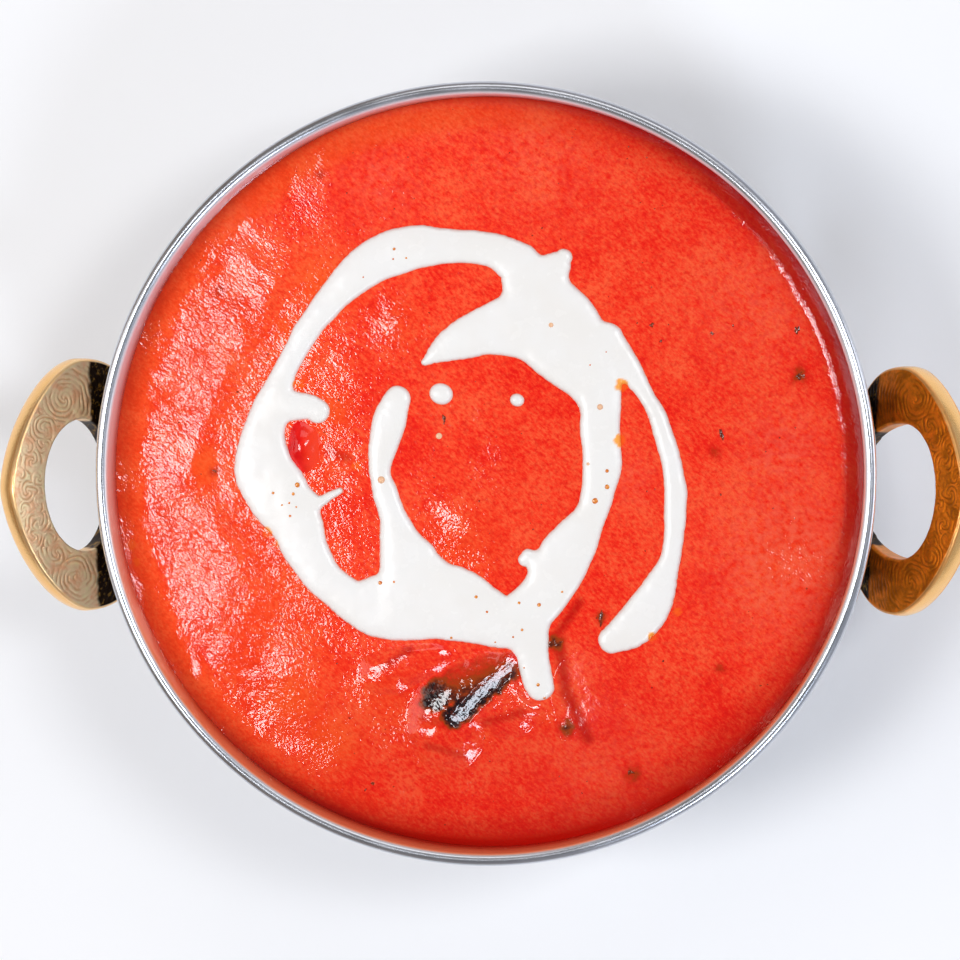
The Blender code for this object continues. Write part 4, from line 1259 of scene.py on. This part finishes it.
def make_chunk(name, samples, mat):
    """A piece of food that stands out of the sauce, which flows up on its rim."""
    lobes = CHUNKS[name]
    middles = np.array([lobe[0][:2] for lobe in lobes])
    reach = max(lobe[1][0] for lobe in lobes) + CHUNK_MARGIN
    grid = plan_grid(middles.min(0) - reach, middles.max(0) + reach, CHUNK_GRID)
    x, y = (g.ravel() for g in grid)
    bare, coarse, gap = bare_sauce(x, y, samples)
    height, inside = over_chunk(x, y, name, bare, gap)
    values = sauce_values(x, y, coarse, inside)
    values["sauced"] = smooth_step(*SAUCED_SIDE, x - middles[0, 0])
    on = smooth_step(SEAM, SEAM + SEAM_FADE, inside)
    relief = waves(x, y, *CHUNK_RELIEF) * (name != "tomato_piece")
    if name == "chicken_charred":
        height, fold = folded(x, y, height)
        burnt, crumb = crust(x, y)
        grainy = np.maximum(patches(x, y, CHARRED_GRAIN).max(0), CRUST_GRAIN * burnt)
        values["char"] = np.maximum(values["char"], burnt * on)
        values["coarse"] = np.maximum(values["coarse"], grainy * on) * (1.0 - fold)
        relief = (relief * (1.0 - burnt) + crumb) * (1.0 - FOLD_CALM * fold)
    height += SEAM_LIFT + relief * on * smooth_step(0.0, 1.5, gap)
    height -= seam_depth(name) * smooth_step(SEAM, SEAM - SEAM_REACH, inside)
    bottom = height - CHUNK_FOOT
    for lobe in lobes:
        dome = lobe[1][2] * np.sqrt(np.maximum(0.0, 1.0 - lobe_ratio(x, y, lobe) ** 2))
        bottom = np.minimum(bottom, lobe[0][2] - dome)
    held = inside[cells(numbered(*grid[0].shape))].mean(-1) > SEAM - SEAM_REACH
    points, quads, used = closed_patch(held, *grid, LEVEL + height, LEVEL + bottom)
    values = {key: value[used] for key, value in values.items()}
    place(make_object(name + "_sauced", points, quads, mat, values, sharp=SHARP), CHUNK_SLOTS[name], name)


# ---------------------------------------------------------------- small things

def ball(level):
    bm = bmesh.new()
    bmesh.ops.create_icosphere(bm, subdivisions=level, radius=1.0)
    points = np.array([v.co.normalized()[:] for v in bm.verts])
    faces = np.array([[v.index for v in f.verts] for f in bm.faces])
    bm.free()
    return points, faces


def blob(centre, half_axes, turn, level, rough=0.0):
    """A small uneven ball as (points, faces); its half axes and place in millimetres."""
    directions, faces = ball(level)
    swell = 1.0 + rough * noise_at(directions, 0.7, centre[0])
    x, y, z = (directions * swell[:, None] * half_axes).T
    return np.column_stack([*along_across(x, y, -turn), z]) + centre, faces


def make_blobs(name, blobs, mat, slot, value=0.0):
    """One piece out of many small balls; value is how burnt they are."""
    points = np.vstack([points for points, _ in blobs])
    starts = np.cumsum([0] + [len(points) for points, _ in blobs])
    faces = np.vstack([faces + start for (_, faces), start in zip(blobs, starts)])
    place(make_object(name, points, faces, mat, {"char": np.full(len(points), value)}), slot)


def on_cream(places, strokes):
    """Where places in the photograph lie on top of the cream, and their radii."""
    for column, row, radius in places:
        spot = photo_point(column, row, CREAM_BASE + CREAM_HEIGHT)
        depth = cream_depth(np.array([spot.x]), np.array([spot.y]), strokes)
        yield (spot.x, spot.y, CREAM_BASE + cream_rise(max(0.0, depth[0]))), radius


def make_oil(strokes, mat):
    """Drops of orange oil that float on the cream."""
    drops = []
    for spot, radius in on_cream(OIL_DROPS, strokes):
        drops.append(blob(spot, (radius, radius, 0.3 * radius), 0.0, 2, 0.12))
    make_blobs("oil_drops", drops, mat, "sauce")


def make_bubbles(strokes, samples, mat):
    """Small bubbles that stand half out of the cream, and flecks of it on the sauce."""
    bubbles = []
    for (x, y, z), radius in on_cream(BUBBLES, strokes):
        bubbles.append(blob((x, y, z - 0.1 * radius), (radius, radius, 0.6 * radius), 0.0, 3))
    for column, row, radius in FLECKS:
        spot = photo_point(column, row, LEVEL)
        rise, _, _ = sauce_height(np.array([spot.x]), np.array([spot.y]), samples)
        bubbles.append(blob((spot.x, spot.y, LEVEL + rise[0]), (radius, radius, 0.4 * radius), 0.0, 3))
    make_blobs("cream_bubbles", bubbles, mat, "cream")


def make_bits(samples, mat):
    """Burnt bits where the photograph shows them, and ground spice all over the sauce."""
    bits = []
    for column, row, half_x, half_y, turn in CHAR_BITS:
        spot = photo_point(column, row, LEVEL)
        bits.append(((spot.x, spot.y), (half_x, half_y, BIT_THICKNESS), turn, 3, 0.9))
    chance = random.Random(SEED)
    while len(bits) < len(CHAR_BITS) + SPECKS:
        reach = (INNER_RADIUS - SPECK_FROM_WALL) * math.sqrt(chance.random())
        angle = chance.uniform(0.0, math.tau)
        x, y = reach * math.cos(angle), reach * math.sin(angle)
        size = chance.uniform(*SPECK_RADII) * chance.random() ** 0.5
        off_cream = min(math.hypot(x - cx, y - cy) - half for cx, cy, half in samples)
        off_chunks = min(lobe_ratio(x, y, lobe) for lobes in CHUNKS.values() for lobe in lobes)
        if off_cream > SPECK_FROM_CREAM and off_chunks > SPECK_FROM_CHUNK:
            shape = (size * chance.uniform(0.8, 2.0), size, size * 0.6)
            bits.append(((x, y), shape, chance.uniform(0.0, 180.0), 1, 0.3))
    spots = np.array([bit[0] for bit in bits])
    rise, _, _ = sauce_height(spots[:, 0], spots[:, 1], samples)
    blobs = []
    for ((x, y), shape, turn, level, rough), lift in zip(bits, rise):
        blobs.append(blob((x, y, LEVEL + lift - 0.5 * shape[2]), shape, turn, level, rough))
    make_blobs("char_and_spice", blobs, mat, "charred_chicken", BIT_CHAR)


def main():
    make_camera()
    make_surroundings()
    make_bowl(steel_look())
    brass = brass_look()
    for name in HANDLES:
        make_handle(name, brass)
    strokes = [smooth_stroke(points, CREAM_SAMPLES) for points in CREAM_STROKES.values()]
    samples = np.vstack([*strokes, list(CREAM_DROPS.values())])
    cream = cream_look()
    sauce = sauce_look()
    make_sauce(samples, sauce)
    make_cream(strokes, cream)
    for name in CHUNKS:
        make_chunk(name, samples, tomato_look() if name == "tomato_piece" else sauce)
    make_oil(strokes, oil_look())
    make_bubbles(strokes, samples, cream)
    make_bits(samples, sauce)


main()
